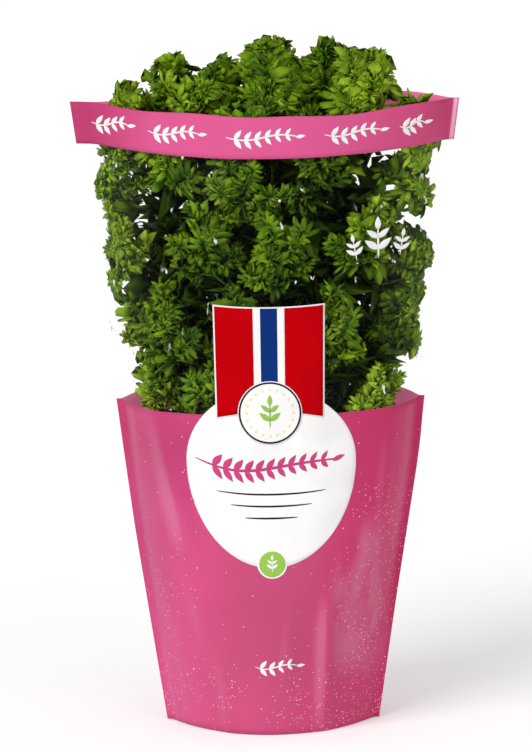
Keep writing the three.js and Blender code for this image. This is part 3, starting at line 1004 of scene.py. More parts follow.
@dataclass
class FilmSleeve:
    """The sleeve: an opaque skirt, a clear window and an opaque band, each a closed ring of thin film."""

    shape: FilmShape = field(default_factory=FilmShape)
    inner_offset: float = 0.08
    outer_offset: float = 0.42
    fin_half: float = 0.32
    columns: int = 75
    fin_columns: int = 3
    joint: float = 0.04
    rim_level: float = 83.0
    rim_reach: float = 15.0
    mouth_waves: float = 0.9
    mouth_ease: float = 12.0
    seam_wear: float = 0.75
    skirt_print: SkirtFilmFinish = SkirtFilmFinish()
    band_print: PrintedFilmFinish = PrintedFilmFinish()
    clear: ClearFilmFinish = ClearFilmFinish()

    def folds(self, x: Array, z: Array, face: Face) -> Array:
        """How far a panel stands out from its plain form: its creases and low waves.

        The waves are a product of two sines that run aslant. All of it is calm at the pot's rim, by a
        bell round the rim's level, and dies away at the seams, by the sixth power of the share across.

        Args:
            x: places across the panel.
            z: heights.
            face: which panel.

        Returns:
            The distances outwards.
        """
        total = self.shape.height
        rise = sum(crease.rise(x, z, total) for crease in CREASES[face])
        phase = 1.7 * face.value
        waves = np.sin(0.11 * x + 0.021 * z + phase) * np.sin(0.017 * z - 0.05 * x + 2 * phase)
        calm = 1 - 0.9 * np.exp(-(((z - self.rim_level) / self.rim_reach) ** 2))
        m = self.shape.measures(z)
        share = np.clip(np.abs((x - m.centre) / m.half), 0, 1)
        return np.maximum(rise + 0.5 * (1 + waves), 0) * calm * (1 - share**6)

    def plain_height(self, x: Array, z: Array) -> Array:
        """The height before the corners are raised, of a point that is at a height z afterwards."""
        m = self.shape.measures(z)
        return z - m.lift * (x / m.width) ** 2

    def front(self, x: Array, z: Array, offset: float) -> Array:
        """Points on the front panel's outside, moved outwards by an offset.

        Args:
            x: places across the panel.
            z: heights.
            offset: how far in front of the film they lie.

        Returns:
            The points, in the shape of x and z with three numbers each.
        """
        level = self.plain_height(x, z)
        y = self.shape.wall(x, level) + self.folds(x, level, Face.FRONT) + self.outer_offset
        return np.stack([x, -np.maximum(y, self.fin_half) - offset, z], -1)

    def panel(self, levels: Array, face: Face, inside: bool) -> Array:
        """A panel's points: from fin to fin across, and from level to level upwards.

        Args:
            levels: the heights of its rows.
            face: which panel.
            inside: whether it is the film's inner side, where the fins are closed.

        Returns:
            A grid of points, one row a level.
        """
        m = self.shape.measures(levels[:, None])
        share = np.sin(np.linspace(-1, 1, self.columns) * math.pi / 2)[None, :]
        x = m.centre + m.half * share
        fin = np.linspace(1, 0, self.fin_columns, endpoint=False)[None, :]
        left_edge, right_edge = m.centre - m.half, m.centre + m.half
        reach = 0.01 if inside else 1.0
        left = left_edge - reach * fin * (m.left + left_edge)
        right = right_edge + reach * fin[:, ::-1] * (m.right - right_edge)
        z = np.broadcast_to(levels[:, None], x.shape)
        offset = self.inner_offset if inside else self.outer_offset
        y = self.shape.wall(x, z) + self.folds(x, z, face) + offset
        flat = 0.02 if inside else self.fin_half
        y = np.maximum(y, flat)
        fins = np.full(left.shape, flat)
        across = np.concatenate([left, x, right], 1)
        height = levels[:, None] + m.lift * (across / m.width) ** 2
        return np.stack([across, face.value * np.concatenate([fins, y, fins], 1), height], -1)

    def ring(self, low: float, high: float, rows: int, waves: float = 0.0, worn: float = 0.0) -> Surface:
        """A closed ring of film between two heights: up its outside and down its inside.

        Args:
            low: the height of its lower edge.
            high: the height of its upper edge.
            rows: how many evenly spaced rows its outside has, besides those at the shape's levels.
            waves: how far its upper edge waves.
            worn: how pale the right seam's front is.

        Returns:
            The ring, with the values inside, which is 1 on its inner side, worn, and flank, which is 1 on
            a fold's left flank and -1 on its right one.
        """
        kinks = [z for z in self.shape.levels if low < z < high]
        levels = np.unique(np.concatenate([np.linspace(low, high, rows), kinks]))
        sides = []
        for inside in (False, True):
            front = self.panel(levels, Face.FRONT, inside)
            back = self.panel(levels, Face.BACK, inside)[:, ::-1]
            sides.append(np.concatenate([front, back], 1))
        outer, inner = sides
        grid = np.concatenate([outer, inner[::-1]])
        top = ease(grid[..., 2], high - self.mouth_ease, high)
        grid[..., 2] += waves * top * np.sin(0.09 * grid[..., 0] + 1.1) * np.sin(0.031 * grid[..., 0])
        values = {
            "inside": np.repeat([0.0, 1.0], grid.shape[1] * len(levels)),
            "worn": self.seam_values(grid.shape[:2], len(levels), worn).ravel(),
            "flank": self.flank_values(grid, levels).ravel(),
        }
        faces = grid_faces(grid.shape[0], grid.shape[1], wrap_rows=True, wrap_columns=True)
        return Surface(grid.reshape(-1, 3), faces, values).outward()

    def seam_values(self, shape: tuple[int, int], rows: int, worn: float) -> Array:
        """How pale the ink is: worn on the right seam's front, outside, and 0 elsewhere.

        Args:
            shape: the ring's rows and columns.
            rows: how many of its rows are outside.
            worn: how pale the seam is.

        Returns:
            A value for each point of the ring.
        """
        values = np.zeros(shape)
        seam = self.columns + self.fin_columns
        values[:rows, seam : seam + self.fin_columns - 1] = worn
        return values

    def flank_values(self, grid: Array, levels: Array) -> Array:
        """How far each point outside is on a fold's flank: the folds' slope across, from 1 to -1, for painted
        light and shade.

        Args:
            grid: the ring's points.
            levels: the heights of its rows outside.

        Returns:
            A value for each point: above 0 on a left flank, below 0 on a right one, and 0 inside.
        """
        values = np.zeros(grid.shape[:2])
        rows = len(levels)
        for block, face in zip(np.split(np.arange(grid.shape[1]), 2), (Face.FRONT, Face.BACK)):
            x, z = grid[:rows, block, 0], levels[:, None]
            slope = self.folds(x + 1, z, face) - self.folds(x - 1, z, face)
            values[:rows, block] = np.clip(slope, -1, 1)
        return values

    def build(self) -> list[bpy.types.Object]:
        """Builds the skirt, the window and the band in their nodes' places.

        Returns:
            The three pieces.
        """
        shape = self.shape
        skirt = put_in_scene(
            "film_skirt",
            self.ring(0, shape.skirt_top - self.joint, 44),
            self.skirt_print.material("printed_film_skirt"),
        )
        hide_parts("sleeve_skirt")
        window = put_in_scene(
            "film_window",
            self.ring(shape.skirt_top, shape.band_bottom - self.joint, 34),
            self.clear.material("clear_film_window"),
        )
        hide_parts("sleeve_window")
        band = put_in_scene(
            "film_band",
            self.ring(shape.band_bottom, shape.height, 9, self.mouth_waves, self.seam_wear),
            self.band_print.material("printed_film_band"),
        )
        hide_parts("sleeve_band")
        return [skirt, window, band]


# The labels


Flat = tuple[Array, Array]


def disc(x: float, z: float, half_width: float, half_height: float, count: int = 21) -> Flat:
    """A flat oval as a square grid that is drawn in to a round rim.

    A grid's point at u across and v up, each from -1 to 1, goes to u sqrt(1 - v^2 / 2) across and
    v sqrt(1 - u^2 / 2) up, so the square's outline becomes a circle and there is no pole or seam.

    Args:
        x: its centre across.
        z: its centre's height.
        half_width: half its width.
        half_height: half its height.
        count: how many points it has each way.

    Returns:
        The places across and the heights of its points.
    """
    u, v = np.linspace(-1, 1, count)[:, None], np.linspace(-1, 1, count)[None, :]
    return x + half_width * u * np.sqrt(1 - v * v / 2), z + half_height * v * np.sqrt(1 - u * u / 2)


def hoop(x: float, z: float, radius: float, width: float, columns: int = 56) -> Flat:
    """A flat ring round a centre, whose last column joins its first.

    Args:
        x: its centre across.
        z: its centre's height.
        radius: its middle circle's radius.
        width: how wide it is.
        columns: how many points it has round it.

    Returns:
        The places across and the heights of its points.
    """
    turn = TAU * np.arange(columns)[None, :] / columns
    reach = radius + np.array([-width, 0, width])[:, None] / 2
    return x + reach * np.cos(turn), z + reach * np.sin(turn)


def panel_between(x0: float, x1: float, z0: float, z1: float) -> Flat:
    """A flat upright rectangle as a grid of 21 points each way.

    Args:
        x0: its left side.
        x1: its right side.
        z0: its lower side.
        z1: its upper side.

    Returns:
        The places across and the heights of its points.
    """
    x, z = np.linspace(x0, x1, 21)[:, None], np.linspace(z0, z1, 21)[None, :]
    return x + 0 * z, z + 0 * x


def blade(x: float, z: float, length: float, width: float, angle: float) -> Flat:
    """A small flat leaf: a rib at an angle from level, and a width that is a sine along it.

    Args:
        x: its foot across.
        z: its foot's height.
        length: how long it is.
        width: how wide it is.
        angle: its rib's angle from level, in degrees.

    Returns:
        The places across and the heights of its points.
    """
    u, v = np.linspace(0.01, 0.99, 9)[:, None], np.linspace(-0.5, 0.5, 4)[None, :]
    along, across = length * u + 0 * v, width * v * np.sin(math.pi * u**0.8) + 0 * u
    c, s = math.cos(math.radians(angle)), math.sin(math.radians(angle))
    return x + c * along - s * across, z + s * along + c * across


def stroke(x: Array, z: Array, width: float) -> Flat:
    """A line of a width that tapers to a quarter at both of its ends, by the root of a sine.

    Args:
        x: the places across that it passes.
        z: the heights that it passes.
        width: its greatest width.

    Returns:
        The places across and the heights of its points.
    """
    dx, dz = np.gradient(x), np.gradient(z)
    size = np.hypot(dx, dz)
    taper = width * (0.25 + 0.75 * np.sin(math.pi * np.linspace(0, 1, len(x))) ** 0.5) / 2
    side = np.array([-1.0, 1.0])[None, :]
    across, up = (side * (taper * part / size)[:, None] for part in (dz, dx))
    return x[:, None] - across, z[:, None] + up


def sprig(x: float, z: float, width: float, height: float, pairs: int, weight: float = 0.9) -> list[Flat]:
    """A lying sprig: a waved stalk with pairs of small leaves that shrink towards its end.

    Args:
        x: its middle across.
        z: its middle's height.
        width: its whole width.
        height: its whole height.
        pairs: how many pairs of leaves it has.
        weight: the stalk's width.

    Returns:
        Its stalk and leaves.
    """
    along = np.linspace(-0.5, 0.5, 25)
    curve = 0.14 * height * np.sin(TAU * along)
    parts = [stroke(x + width * along, z + curve, weight)]
    for i in range(pairs):
        at = -0.38 + 0.82 * i / pairs
        size = 0.62 * height * (1 - 0.35 * i / pairs)
        foot = z + 0.14 * height * math.sin(TAU * at)
        for hand in (1, -1):
            parts.append(blade(x + width * at, foot, size, 0.42 * size, hand * 52))
    parts.append(blade(x + 0.44 * width, z, 0.5 * height, 0.2 * height, 8))
    return parts


def shoot(x: float, z: float, height: float) -> list[Flat]:
    """An upright shoot: a stalk, two pairs of leaves and a leaf at its top.

    Args:
        x: its foot across.
        z: its foot's height.
        height: its height.

    Returns:
        Its stalk and leaves.
    """
    line = np.linspace(0, 1, 9)
    parts = [stroke(x + 0 * line, z + 0.8 * height * line, 0.05 * height)]
    for at, size in ((0.22, 0.42), (0.5, 0.36)):
        for angle in (38, 142):
            parts.append(blade(x, z + at * height, size * height, 0.4 * size * height, angle))
    parts.append(blade(x, z + 0.7 * height, 0.34 * height, 0.15 * height, 90))
    return parts


def turned(flats: list[Flat], x: float, z: float, angle: float) -> list[Flat]:
    """Flat shapes drawn round the origin, turned by an angle in degrees and moved to a place."""
    c, s = math.cos(math.radians(angle)), math.sin(math.radians(angle))
    return [(x + c * u - s * v, z + s * u + c * v) for u, v in flats]


@dataclass
class Labels:
    """The labels printed on the film: thin patches of ink that follow the front panel."""

    sleeve: FilmSleeve
    centre: float = 1.9
    thickness: float = 0.05
    first_layer: float = 0.03
    layer_step: float = 0.07
    egg_half_width: float = 41.8
    egg_middle: float = 140.9
    egg_bottom: float = 87.4
    egg_top: float = 178.2
    banner_half: float = 27.6
    banner_taper: float = 0.03
    banner_notch: float = 5.0
    banner_low: float = 162.2
    banner_high: float = 218.2
    border: float = 0.75
    stripe_half: float = 7.8
    inner_stripe_half: float = 4.2
    seal_height: float = 165.5
    seal_radius: float = 15.9
    hoop_width: float = 0.9
    dots: int = 20
    dot_radius: float = 0.75
    dot_circle: float = 11.6
    seal_shoot: Span = (-7.5, 16.0)
    garland_height: float = 137.4
    garland_size: Span = (72, 13.0)
    garland_sag: float = 0.0035
    rules: Table = ((124.5, 27), (118.5, 20), (112.5, 13))
    rule_width: float = 0.9
    rule_sag: float = 0.0022
    tag_height: float = 89.4
    tag_radius: float = 7.4
    tag_inner_radius: float = 6.5
    tag_shoot: Span = (-4.1, 8.6)
    skirt_sprig_height: float = 36.0
    skirt_sprig_size: Span = (22, 8.5)
    posy_place: Span = (56, 239)
    posy_shoots: tuple[tuple[float, float, float], ...] = ((0, 20, 0), (-10.5, 13, 10), (10.5, 13, -10))
    band_height: float = 302.0
    band_sag: float = 0.00025
    band_sprig_size: float = 9.5
    band_sprigs: tuple[tuple[float, float, int], ...] = (
        (-76, 19.5, 4), (-43.5, 27, 5), (0.4, 37, 6), (45, 29, 5), (73.6, 12.5, 3),
    )
    inks: dict[Ink, bpy.types.Material] = field(default_factory=dict)

    def lay(
        self,
        name: str,
        shapes: Sequence[Flat],
        layer: int,
        ink: Ink,
        ring: bool = False,
    ) -> None:
        """Lays flat shapes on the front panel: each point goes straight back to the film's outside.

        Args:
            name: the piece's name.
            shapes: the flat shapes.
            layer: which layer of ink it is, counted from the film.
            ink: its ink.
            ring: each shape is a ring, whose last column joins its first.
        """
        surfaces = []
        for x, z in shapes:
            offset = self.first_layer + self.layer_step * layer
            front = self.sleeve.front(x, z, offset + self.thickness)
            back = self.sleeve.front(x, z, offset)
            points = np.concatenate([front.reshape(-1, 3), back.reshape(-1, 3)])
            surfaces.append(Surface(points, slab_faces(*x.shape, ring)).outward())
        if ink not in self.inks:
            self.inks[ink] = InkFinish(ink.value).material("ink_" + ink.name.lower())
        put_in_scene(name, joined(surfaces), self.inks[ink])
        log.info("%s: %d shapes", name, len(shapes))

    def egg(self) -> Flat:
        """The white label: half an oval above its widest line and a longer half below it.

        Returns:
            The places across and the heights of its points.
        """
        x, z = disc(0, 0, self.egg_half_width, 1, 35)
        above, below = self.egg_top - self.egg_middle, self.egg_middle - self.egg_bottom
        return self.centre + x, self.egg_middle + z * np.where(z > 0, above, below)

    def banner(self, half_width: float, inset: float) -> Flat:
        """A strip of the banner, which narrows downwards and whose foot rises to its middle in a notch.

        Args:
            half_width: half the strip's width.
            inset: how far it stays from the banner's top and foot.

        Returns:
            The places across and the heights of its points.
        """
        x, z = panel_between(-half_width, half_width, self.banner_low + inset, self.banner_high - inset)
        down = (self.banner_high - z) / (self.banner_high - self.banner_low)
        notch = self.banner_notch * (1 - np.abs(x) / self.banner_half) * down
        raised = z + notch + (x / self.banner_half) ** 2 * (1 - down)
        return self.centre + x * (1 - self.banner_taper * down), raised

    def build(self) -> None:
        """Builds the egg-shaped label with its ornaments, the banner, the seal, the tag and the sprigs."""
        self.lay("label_egg", [self.egg()], 0, Ink.WHITE)
        self.build_banner()
        self.build_seal()
        self.build_ornaments()
        self.build_tag()
        self.build_sprigs()

    def build_banner(self) -> None:
        """Builds the banner: a white border, a red field and a white and a blue stripe down its middle."""
        edge = self.border
        self.lay("banner_border", [self.banner(self.banner_half, 0)], 1, Ink.WHITE)
        self.lay("banner_field", [self.banner(self.banner_half - edge, edge)], 2, Ink.RED)
        self.lay("banner_stripe", [self.banner(self.stripe_half, edge)], 3, Ink.WHITE)
        self.lay("banner_inner_stripe", [self.banner(self.inner_stripe_half, edge)], 4, Ink.BLUE)

    def build_seal(self) -> None:
        """Builds the round seal: a pale disc, a dark hoop at its edge, a ring of dots and a shoot."""
        c, z, r, size = self.centre, self.seal_height, self.seal_radius, self.dot_radius
        self.lay("seal_disc", [disc(c, z, r, r)], 5, Ink.WHITE)
        self.lay("seal_hoop", [hoop(c, z, r - self.hoop_width, self.hoop_width)], 6, Ink.DARK, ring=True)
        dots = []
        for turn in TAU * np.arange(self.dots) / self.dots:
            across, up = self.dot_circle * math.cos(turn), self.dot_circle * math.sin(turn)
            dots.append(disc(c + across, z + up, size, size, 5))
        self.lay("seal_dots", dots, 6, Ink.CREAM)
        foot, tall = self.seal_shoot
        self.lay("seal_shoot", shoot(c, z + foot, tall), 7, Ink.GREEN)

    def build_ornaments(self) -> None:
        """Builds the egg's pink garland and the plain curved rules below it, each shorter than the last."""
        c = self.centre
        garland = sprig(-1.5, self.garland_height, *self.garland_size, 11, 1.5)
        garland = [(c + x, z + self.garland_sag * x * x) for x, z in garland]
        self.lay("egg_garland", garland, 1, Ink.PINK)
        rules = []
        for height, half in self.rules:
            across = np.linspace(-half, half, 25)
            rules.append(stroke(c + across, height + self.rule_sag * across**2, self.rule_width))
        self.lay("egg_rules", rules, 1, Ink.DARK)

    def build_tag(self) -> None:
        """Builds the small round tag with a shoot."""
        c, z, outer, inner = self.centre, self.tag_height, self.tag_radius, self.tag_inner_radius
        self.lay("tag_border", [disc(c, z, outer, outer, 15)], 1, Ink.WHITE)
        self.lay("tag", [disc(c, z, inner, inner, 15)], 2, Ink.GREEN)
        foot, tall = self.tag_shoot
        self.lay("tag_shoot", shoot(c, z + foot, tall), 3, Ink.WHITE)

    def build_sprigs(self) -> None:
        """Builds the sprig low on the skirt, the posy on the window and the sprigs along the band."""
        low_sprig = sprig(self.centre + 1.5, self.skirt_sprig_height, *self.skirt_sprig_size, 4, 0.7)
        self.lay("skirt_sprig", low_sprig, 0, Ink.WHITE)
        across, foot = self.posy_place
        posy = []
        for x, tall, lean in self.posy_shoots:
            posy += turned(shoot(0, 0, tall), across + x, foot, lean)
        self.lay("window_posy", posy, 0, Ink.WHITE)
        for i, (x, width, pairs) in enumerate(self.band_sprigs):
            height = self.band_height + self.band_sag * x * x
            flats = sprig(x, height, width, self.band_sprig_size, pairs)
            self.lay(f"band_sprig_{i + 1}", flats, 0, Ink.WHITE)


# The parsley


@dataclass(frozen=True)
class Cell:
    """A frond's space: a wedge between two directions and two heights behind the film."""

    bearing: float
    half_turn: float
    bottom: float
    top: float
    deep: float
    root: float


@dataclass(frozen=True)
class Pinna:
    """A leaf's side branch: where it leaves the rib, its direction in the leaf's frame and its length."""

    level: float
    side: float
    up: float
    out: float
    size: float


PINNAE = (
    Pinna(0.0, -0.85, 0.3, 0.1, 22),
    Pinna(2.5, 0.85, 0.3, 0.15, 22),
    Pinna(9.0, -0.55, 0.75, 0.45, 22),
    Pinna(12.0, 0.55, 0.75, 0.4, 22),
    Pinna(17.0, 0.0, 1.0, 0.05, 24),
)


@dataclass(frozen=True)
class Fan:
    """A leaflet's grid: its rows, its lobes, and the places and lengths of a lobe's columns."""

    rows: int
    lobes: int
    places: tuple[float, ...]
    lengths: tuple[float, ...]


FINE_FAN = Fan(3, 5, (-0.5, -0.27, 0.0, 0.27), (0.5, 0.86, 1.0, 0.86))
CROWN_FAN = Fan(3, 5, (-0.5, -0.29, 0.0, 0.29), (0.42, 0.88, 1.0, 0.88))
COARSE_FAN = Fan(3, 5, (-0.5, 0.0), (0.5, 1.0))
GOLDEN_TURN = math.radians(137.5)
SEEDS_PER_FROND = 17
SEEDS_PER_BRANCH = 31
STEM_SEEDS = 9000
SEEDS_PER_STEM = 37


@dataclass(frozen=True)
class LeafletForm:
    """A leaflet's ruffles: each pair is the usual amount and its scatter.

    The ruffle, groove, hook, bend and droop are heights, as shares of its length. The spread is a factor on
    the fan's turn, lobe_scatter is a share of a lobe's length, and the last two are turns in radians.
    """

    ruffle: Span = (0.17, 0.09)
    groove: Span = (0.16, 0.1)
    hook: Span = (0.14, 0.16)
    bend: Span = (0.1, 0.34)
    spread: Span = (1.0, 0.14)
    droop: float = 0.34
    lobe_scatter: float = 0.16
    twist: float = 0.12
    ruffle_shift: float = 1.4


@dataclass(frozen=True)
class LeafShade:
    """How light leaves are, as painted light and shade: lighter in the crown, low down and at the sides,
    darker deep in the bunch.

    Each span is where a part starts and where it is full: across for the sides and the right, and
    downwards for what is low.
    """

    crown: float = 0.38
    window: float = 0.24
    scattered: float = 0.7
    deep: float = 0.5
    per_frond: float = 0.22
    per_branch: float = 0.1
    sides: float = 0.32
    sides_middle: float = 4.0
    sides_span: Span = (36, 70)
    low: float = 0.24
    low_span: Span = (205, 172)
    right: float = 0.14
    right_span: Span = (34, 66)

    def at(self, tip: Array, in_crown: bool, depth: Array, own: Array, seed: int) -> Array:
        """The shades of leaflets.

        Args:
            tip: their tips.
            in_crown: whether their branch reaches above the sleeve.
            depth: how deep in the bunch they are, from 0 to 1.
            own: their seeds.
            seed: their branch's seed.

        Returns:
            A shade for each.
        """
        x, _, z = tip.T
        shade = (self.crown if in_crown else self.window) + self.scattered * scatter(own, Draw.SHADE)
        shade = shade - self.deep * depth
        shade = shade + self.per_frond * sway(seed // SEEDS_PER_FROND, Draw.FROND_SHADE)
        shade = shade + self.per_branch * sway(seed, Draw.BRANCH_SHADE)
        shade = shade + self.sides * ease(np.abs(x - self.sides_middle), *self.sides_span)
        return shade + self.low * ease(z, *self.low_span) + self.right * ease(x, *self.right_span)


@dataclass(frozen=True)
class LeafFrame:
    """A frond's own frame: its stem's path, the directions sideways, up its rib and out of its face."""

    path: Array
    side: Array
    rib: Array
    face: Array
    scale: float


@dataclass(frozen=True)
class Leaflets:
    """Where leaflets grow: their starts, directions, facings, lengths, seeds and shades."""

    base: Array
    along: Array
    facing: Array
    size: Array
    seed: Array
    shade: Array

    @classmethod
    def together(cls, groups: Sequence["Leaflets"]) -> "Leaflets":
        """Several groups of leaflets as one."""
        return cls(*(np.concatenate([getattr(group, f.name) for group in groups]) for f in fields(cls)))


@dataclass
class Parsley:
    """The plant: 51 fronds, each a stem with five side branches of ruffled leaflets."""

    film: FilmShape
    tiers: int = 5
    fronds_per_tier: int = 9
    first_bottom: float = 142.0
    tier_height: float = 38.4
    crown_fronds: int = 6
    crown_bottom: float = 306.0
    cell_depth: float = 28.0
    clearance: float = 0.6
    wedge: Span = (70.0, 55.0)
    cell_margin: float = 0.6
    roots: Span = (38.0, 26.0)
    first_root: float = 0.95
    root_step: float = 0.15
    crown_root: float = 0.2
    root_depth: float = 7.0
    straight_root: float = 6.0
    gate_drop: float = 3.0
    gate_inset: float = 4.0
    crown_gate: float = 10.0
    stem_sway: float = 2.0
    rib_lean: float = 0.2
    soil_level: float = 78.0
    canopy_reach: float = 0.85
    crown_reach: float = 45.0
    canopy: Table = (
        (-90, 306), (-84, 311), (-81, 315), (-71, 316), (-62, 316), (-57, 324), (-51, 338), (-46, 337),
        (-42, 328), (-38, 316), (-29, 316), (-25, 332), (-16, 339), (-10.5, 345), (-4, 341.5), (6, 344),
        (13, 338), (20, 331), (27, 333), (36, 341), (43, 337), (50, 332), (58, 340), (63, 334), (65.5, 321),
        (67, 315), (73, 315), (77, 311), (81, 303), (90, 300),
    )
    slope: float = 0.174
    raggedness: float = 1.6
    left_edge: Table = (
        (150, 62), (186, 63), (192, 69), (206, 78), (230, 83), (270, 86), (274, 93), (350, 94),
    )
    right_edge: Table = (
        (150, 63), (175, 66), (181, 75), (210, 79), (217, 90), (240, 91), (246, 62), (255, 62),
        (261, 88), (350, 95),
    )
    per_pinna: int = 17
    per_stem: int = 32
    leaflet_size: float = 9.0
    crown_growth: float = 1.28
    inner_size: float = 20.0
    lowest_leaflet: float = 118.0
    spread: float = math.radians(66)
    thickness: float = 0.4
    looseness: float = 6.0
    upright_looseness: float = 14.0
    branch_margin: float = 4.0
    corner_share: float = 0.9
    corner_pull: float = 0.4
    top_corner_pull: float = 0.22
    plume_bearing: float = math.radians(150)
    form: LeafletForm = LeafletForm()
    shade: LeafShade = LeafShade()
    finish: LeafFinish = LeafFinish()

    def canopy_top(self, x: Array) -> Array:
        """The canopy's height above the middle plane at places across."""
        return np.interp(x, *zip(*self.canopy))

    def reach(self, z: Array, bearing: Array) -> Array:
        """How far the foliage reaches from the axis: to the film, or less far to the sides.

        Its sides are ragged by a sine of the height, whose phase another sine shifts.

        Args:
            z: the heights.
            bearing: the directions from the axis.

        Returns:
            The distances.
        """
        left, right = (np.interp(z, *zip(*edge)) for edge in (self.left_edge, self.right_edge))
        across = np.cos(bearing)
        phase = 0.42 * z + 1.7 * np.sin(0.11 * z) + across + 5 * np.sin(bearing)
        ragged = self.raggedness * (1 + np.sin(phase))
        side = (np.where(across > 0, right, left) - ragged) / np.maximum(np.abs(across), 0.05)
        return np.minimum(self.film.radius(z, bearing, self.clearance), side)

    def wedge_edge(self, turn: float) -> float:
        """The direction of a wedge's edge."""
        width, depth = self.wedge
        return math.atan2(depth * math.sin(TAU * turn), width * math.cos(TAU * turn))

    def cell(self, turn: float, count: int, bottom: float, top: float, deep: float, root: float) -> Cell:
        """A cell round a direction, one of a count of equal turns.

        Args:
            turn: the direction of its middle, as a share of a whole turn.
            count: how many cells go round.
            bottom: the height of its foot.
            top: the height of its top.
            deep: how far it reaches inwards from the film, or 0 in the crown.
            root: how far out its stem stands in the soil, as a share.

        Returns:
            The cell.
        """
        start, end = self.wedge_edge(turn - 0.5 / count), self.wedge_edge(turn + 0.5 / count)
        if end < start:
            end += TAU
        return Cell((start + end) / 2, (end - start) / 2, bottom, top, deep, root)

    def drawn(self, bearing: float, tier: int) -> float:
        """A frond's direction, drawn towards a side corner where it is near one, but for the tall plume.

        Args:
            bearing: its cell's direction.
            tier: its tier's number.

        Returns:
            The direction.
        """
        corner = math.pi * round(bearing / math.pi)
        at_top = tier == self.tiers - 1
        if abs(math.cos(bearing)) < self.corner_share:
            return bearing
        if at_top and 0 < bearing < corner:
            return self.plume_bearing
        return corner + (self.top_corner_pull if at_top else self.corner_pull) * (bearing - corner)

    def cells(self) -> list[Cell]:
        """All the fronds' cells: the tiers from the lowest up, then the crown.

        Returns:
            The cells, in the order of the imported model's fronds.
        """
        cells = []
        for tier in range(self.tiers):
            for i in range(self.fronds_per_tier):
                turn = (i + (tier % 2) / 2) / self.fronds_per_tier
                bottom = self.first_bottom + tier * self.tier_height
                root = self.first_root - self.root_step * tier
                cell = self.cell(turn, self.fronds_per_tier, bottom, 0, self.cell_depth, root)
                cell = replace(cell, bearing=self.drawn(cell.bearing, tier))
                reach = self.film.radius(np.array(bottom), np.array(cell.bearing), self.clearance)
                side = self.canopy_reach * float(reach) * math.cos(cell.bearing)
                top = min(bottom + self.tier_height, float(self.canopy_top(side)))
                cells.append(replace(cell, top=top))
        for i in range(self.crown_fronds):
            turn = (i + 0.5) / self.crown_fronds
            top = float(self.canopy_top(self.crown_reach * math.cos(TAU * turn)))
            cells.append(self.cell(turn, self.crown_fronds, self.crown_bottom, top, 0, self.crown_root))
        return cells

    def range_of(self, cell: Cell, z: Array, bearing: Array) -> tuple[Array, Array]:
        """Where a cell starts and ends along a direction from the axis.

        Args:
            cell: the cell.
            z: the heights.
            bearing: the directions.

        Returns:
            The nearest and the farthest distances.
        """
        wall = self.reach(np.asarray(z, float), np.asarray(bearing, float))
        inner, margin = wall - self.cell_depth, self.cell_margin
        return (inner + margin, wall) if cell.deep else (np.ones_like(wall), inner - margin)

    def into_cell(self, points: Array, cell: Cell) -> Array:
        """Bends points back into a frond's cell, loosely at its neighbours and strictly at the film.

        Args:
            points: the points.
            cell: the frond's cell.

        Returns:
            The bent points.
        """
        middle, half = (cell.bottom + cell.top) / 2, (cell.top - cell.bottom) / 2
        z = middle + squeeze(points[:, 2] - middle, np.array(half + self.upright_looseness))
        radius = np.hypot(points[:, 0], points[:, 1])
        turn = np.arctan2(points[:, 1], points[:, 0]) - cell.bearing
        turn -= TAU * np.round(turn / TAU)
        limit = cell.half_turn + self.looseness / np.maximum(radius, 8)
        bearing = cell.bearing + squeeze(turn, limit)
        near, far = self.range_of(cell, z, bearing)
        near = near - self.looseness if cell.deep else near
        far = far if cell.deep else far + self.looseness
        reach = (near + far) / 2 + squeeze(radius - (near + far) / 2, (far - near) / 2, 0.8)
        return np.stack([reach * np.cos(bearing), reach * np.sin(bearing), z], -1)

    def frame_of(self, cell: Cell, index: int) -> LeafFrame:
        """Places a frond in its cell: its stem rises from the soil and passes a gate below the cell.

        Args:
            cell: its cell.
            index: its number, which its scattered values follow.

        Returns:
            The frond's frame.
        """
        out = np.array([math.cos(cell.bearing), math.sin(cell.bearing), 0])
        in_corner = cell.deep and abs(out[0]) > self.corner_share
        front = np.array([0, 1.0 if out[1] > 0.1 else -1.0, 0]) + 0.2 * out if in_corner else out
        rib = unit(UP + self.rib_lean * out)
        side = unit(np.cross(rib, front))
        rib = unit(rib + 0.3 * side * float(sway(index, Draw.RIB_LEAN)))
        side = unit(np.cross(rib, front))
        face = unit(np.cross(side, rib))
        rise = 0.22 + 0.18 * float(sway(index, Draw.STEM_HEIGHT))
        height = cell.bottom + rise * (cell.top - cell.bottom)
        near, far = (float(v) for v in self.range_of(cell, height, cell.bearing))
        radius = near + (far - near) * (0.76 if in_corner else 0.5 if cell.deep else 0.65)
        end = out * radius + UP * height + side * self.stem_sway * float(sway(index, Draw.STEM_END))
        foot = np.array([self.roots[0] * out[0], self.roots[1] * out[1], 0]) * cell.root
        foot = foot + UP * (self.soil_level + self.straight_root)
        throat = float(self.range_of(cell, cell.bottom, cell.bearing)[0])
        throat += -self.gate_inset if cell.deep else self.crown_gate
        gate = out * throat + UP * (cell.bottom - self.gate_drop)
        curve = smooth_path(np.stack([foot, (foot + gate) / 2, gate, end]), 16)
        path = np.concatenate([[foot - UP * (self.straight_root + self.root_depth)], curve])
        width = max(0.85, 2 * radius * math.tan(cell.half_turn) / 30)
        return LeafFrame(path, side, rib, face, min(width, max((cell.top - cell.bottom) / 36, 0.88)))

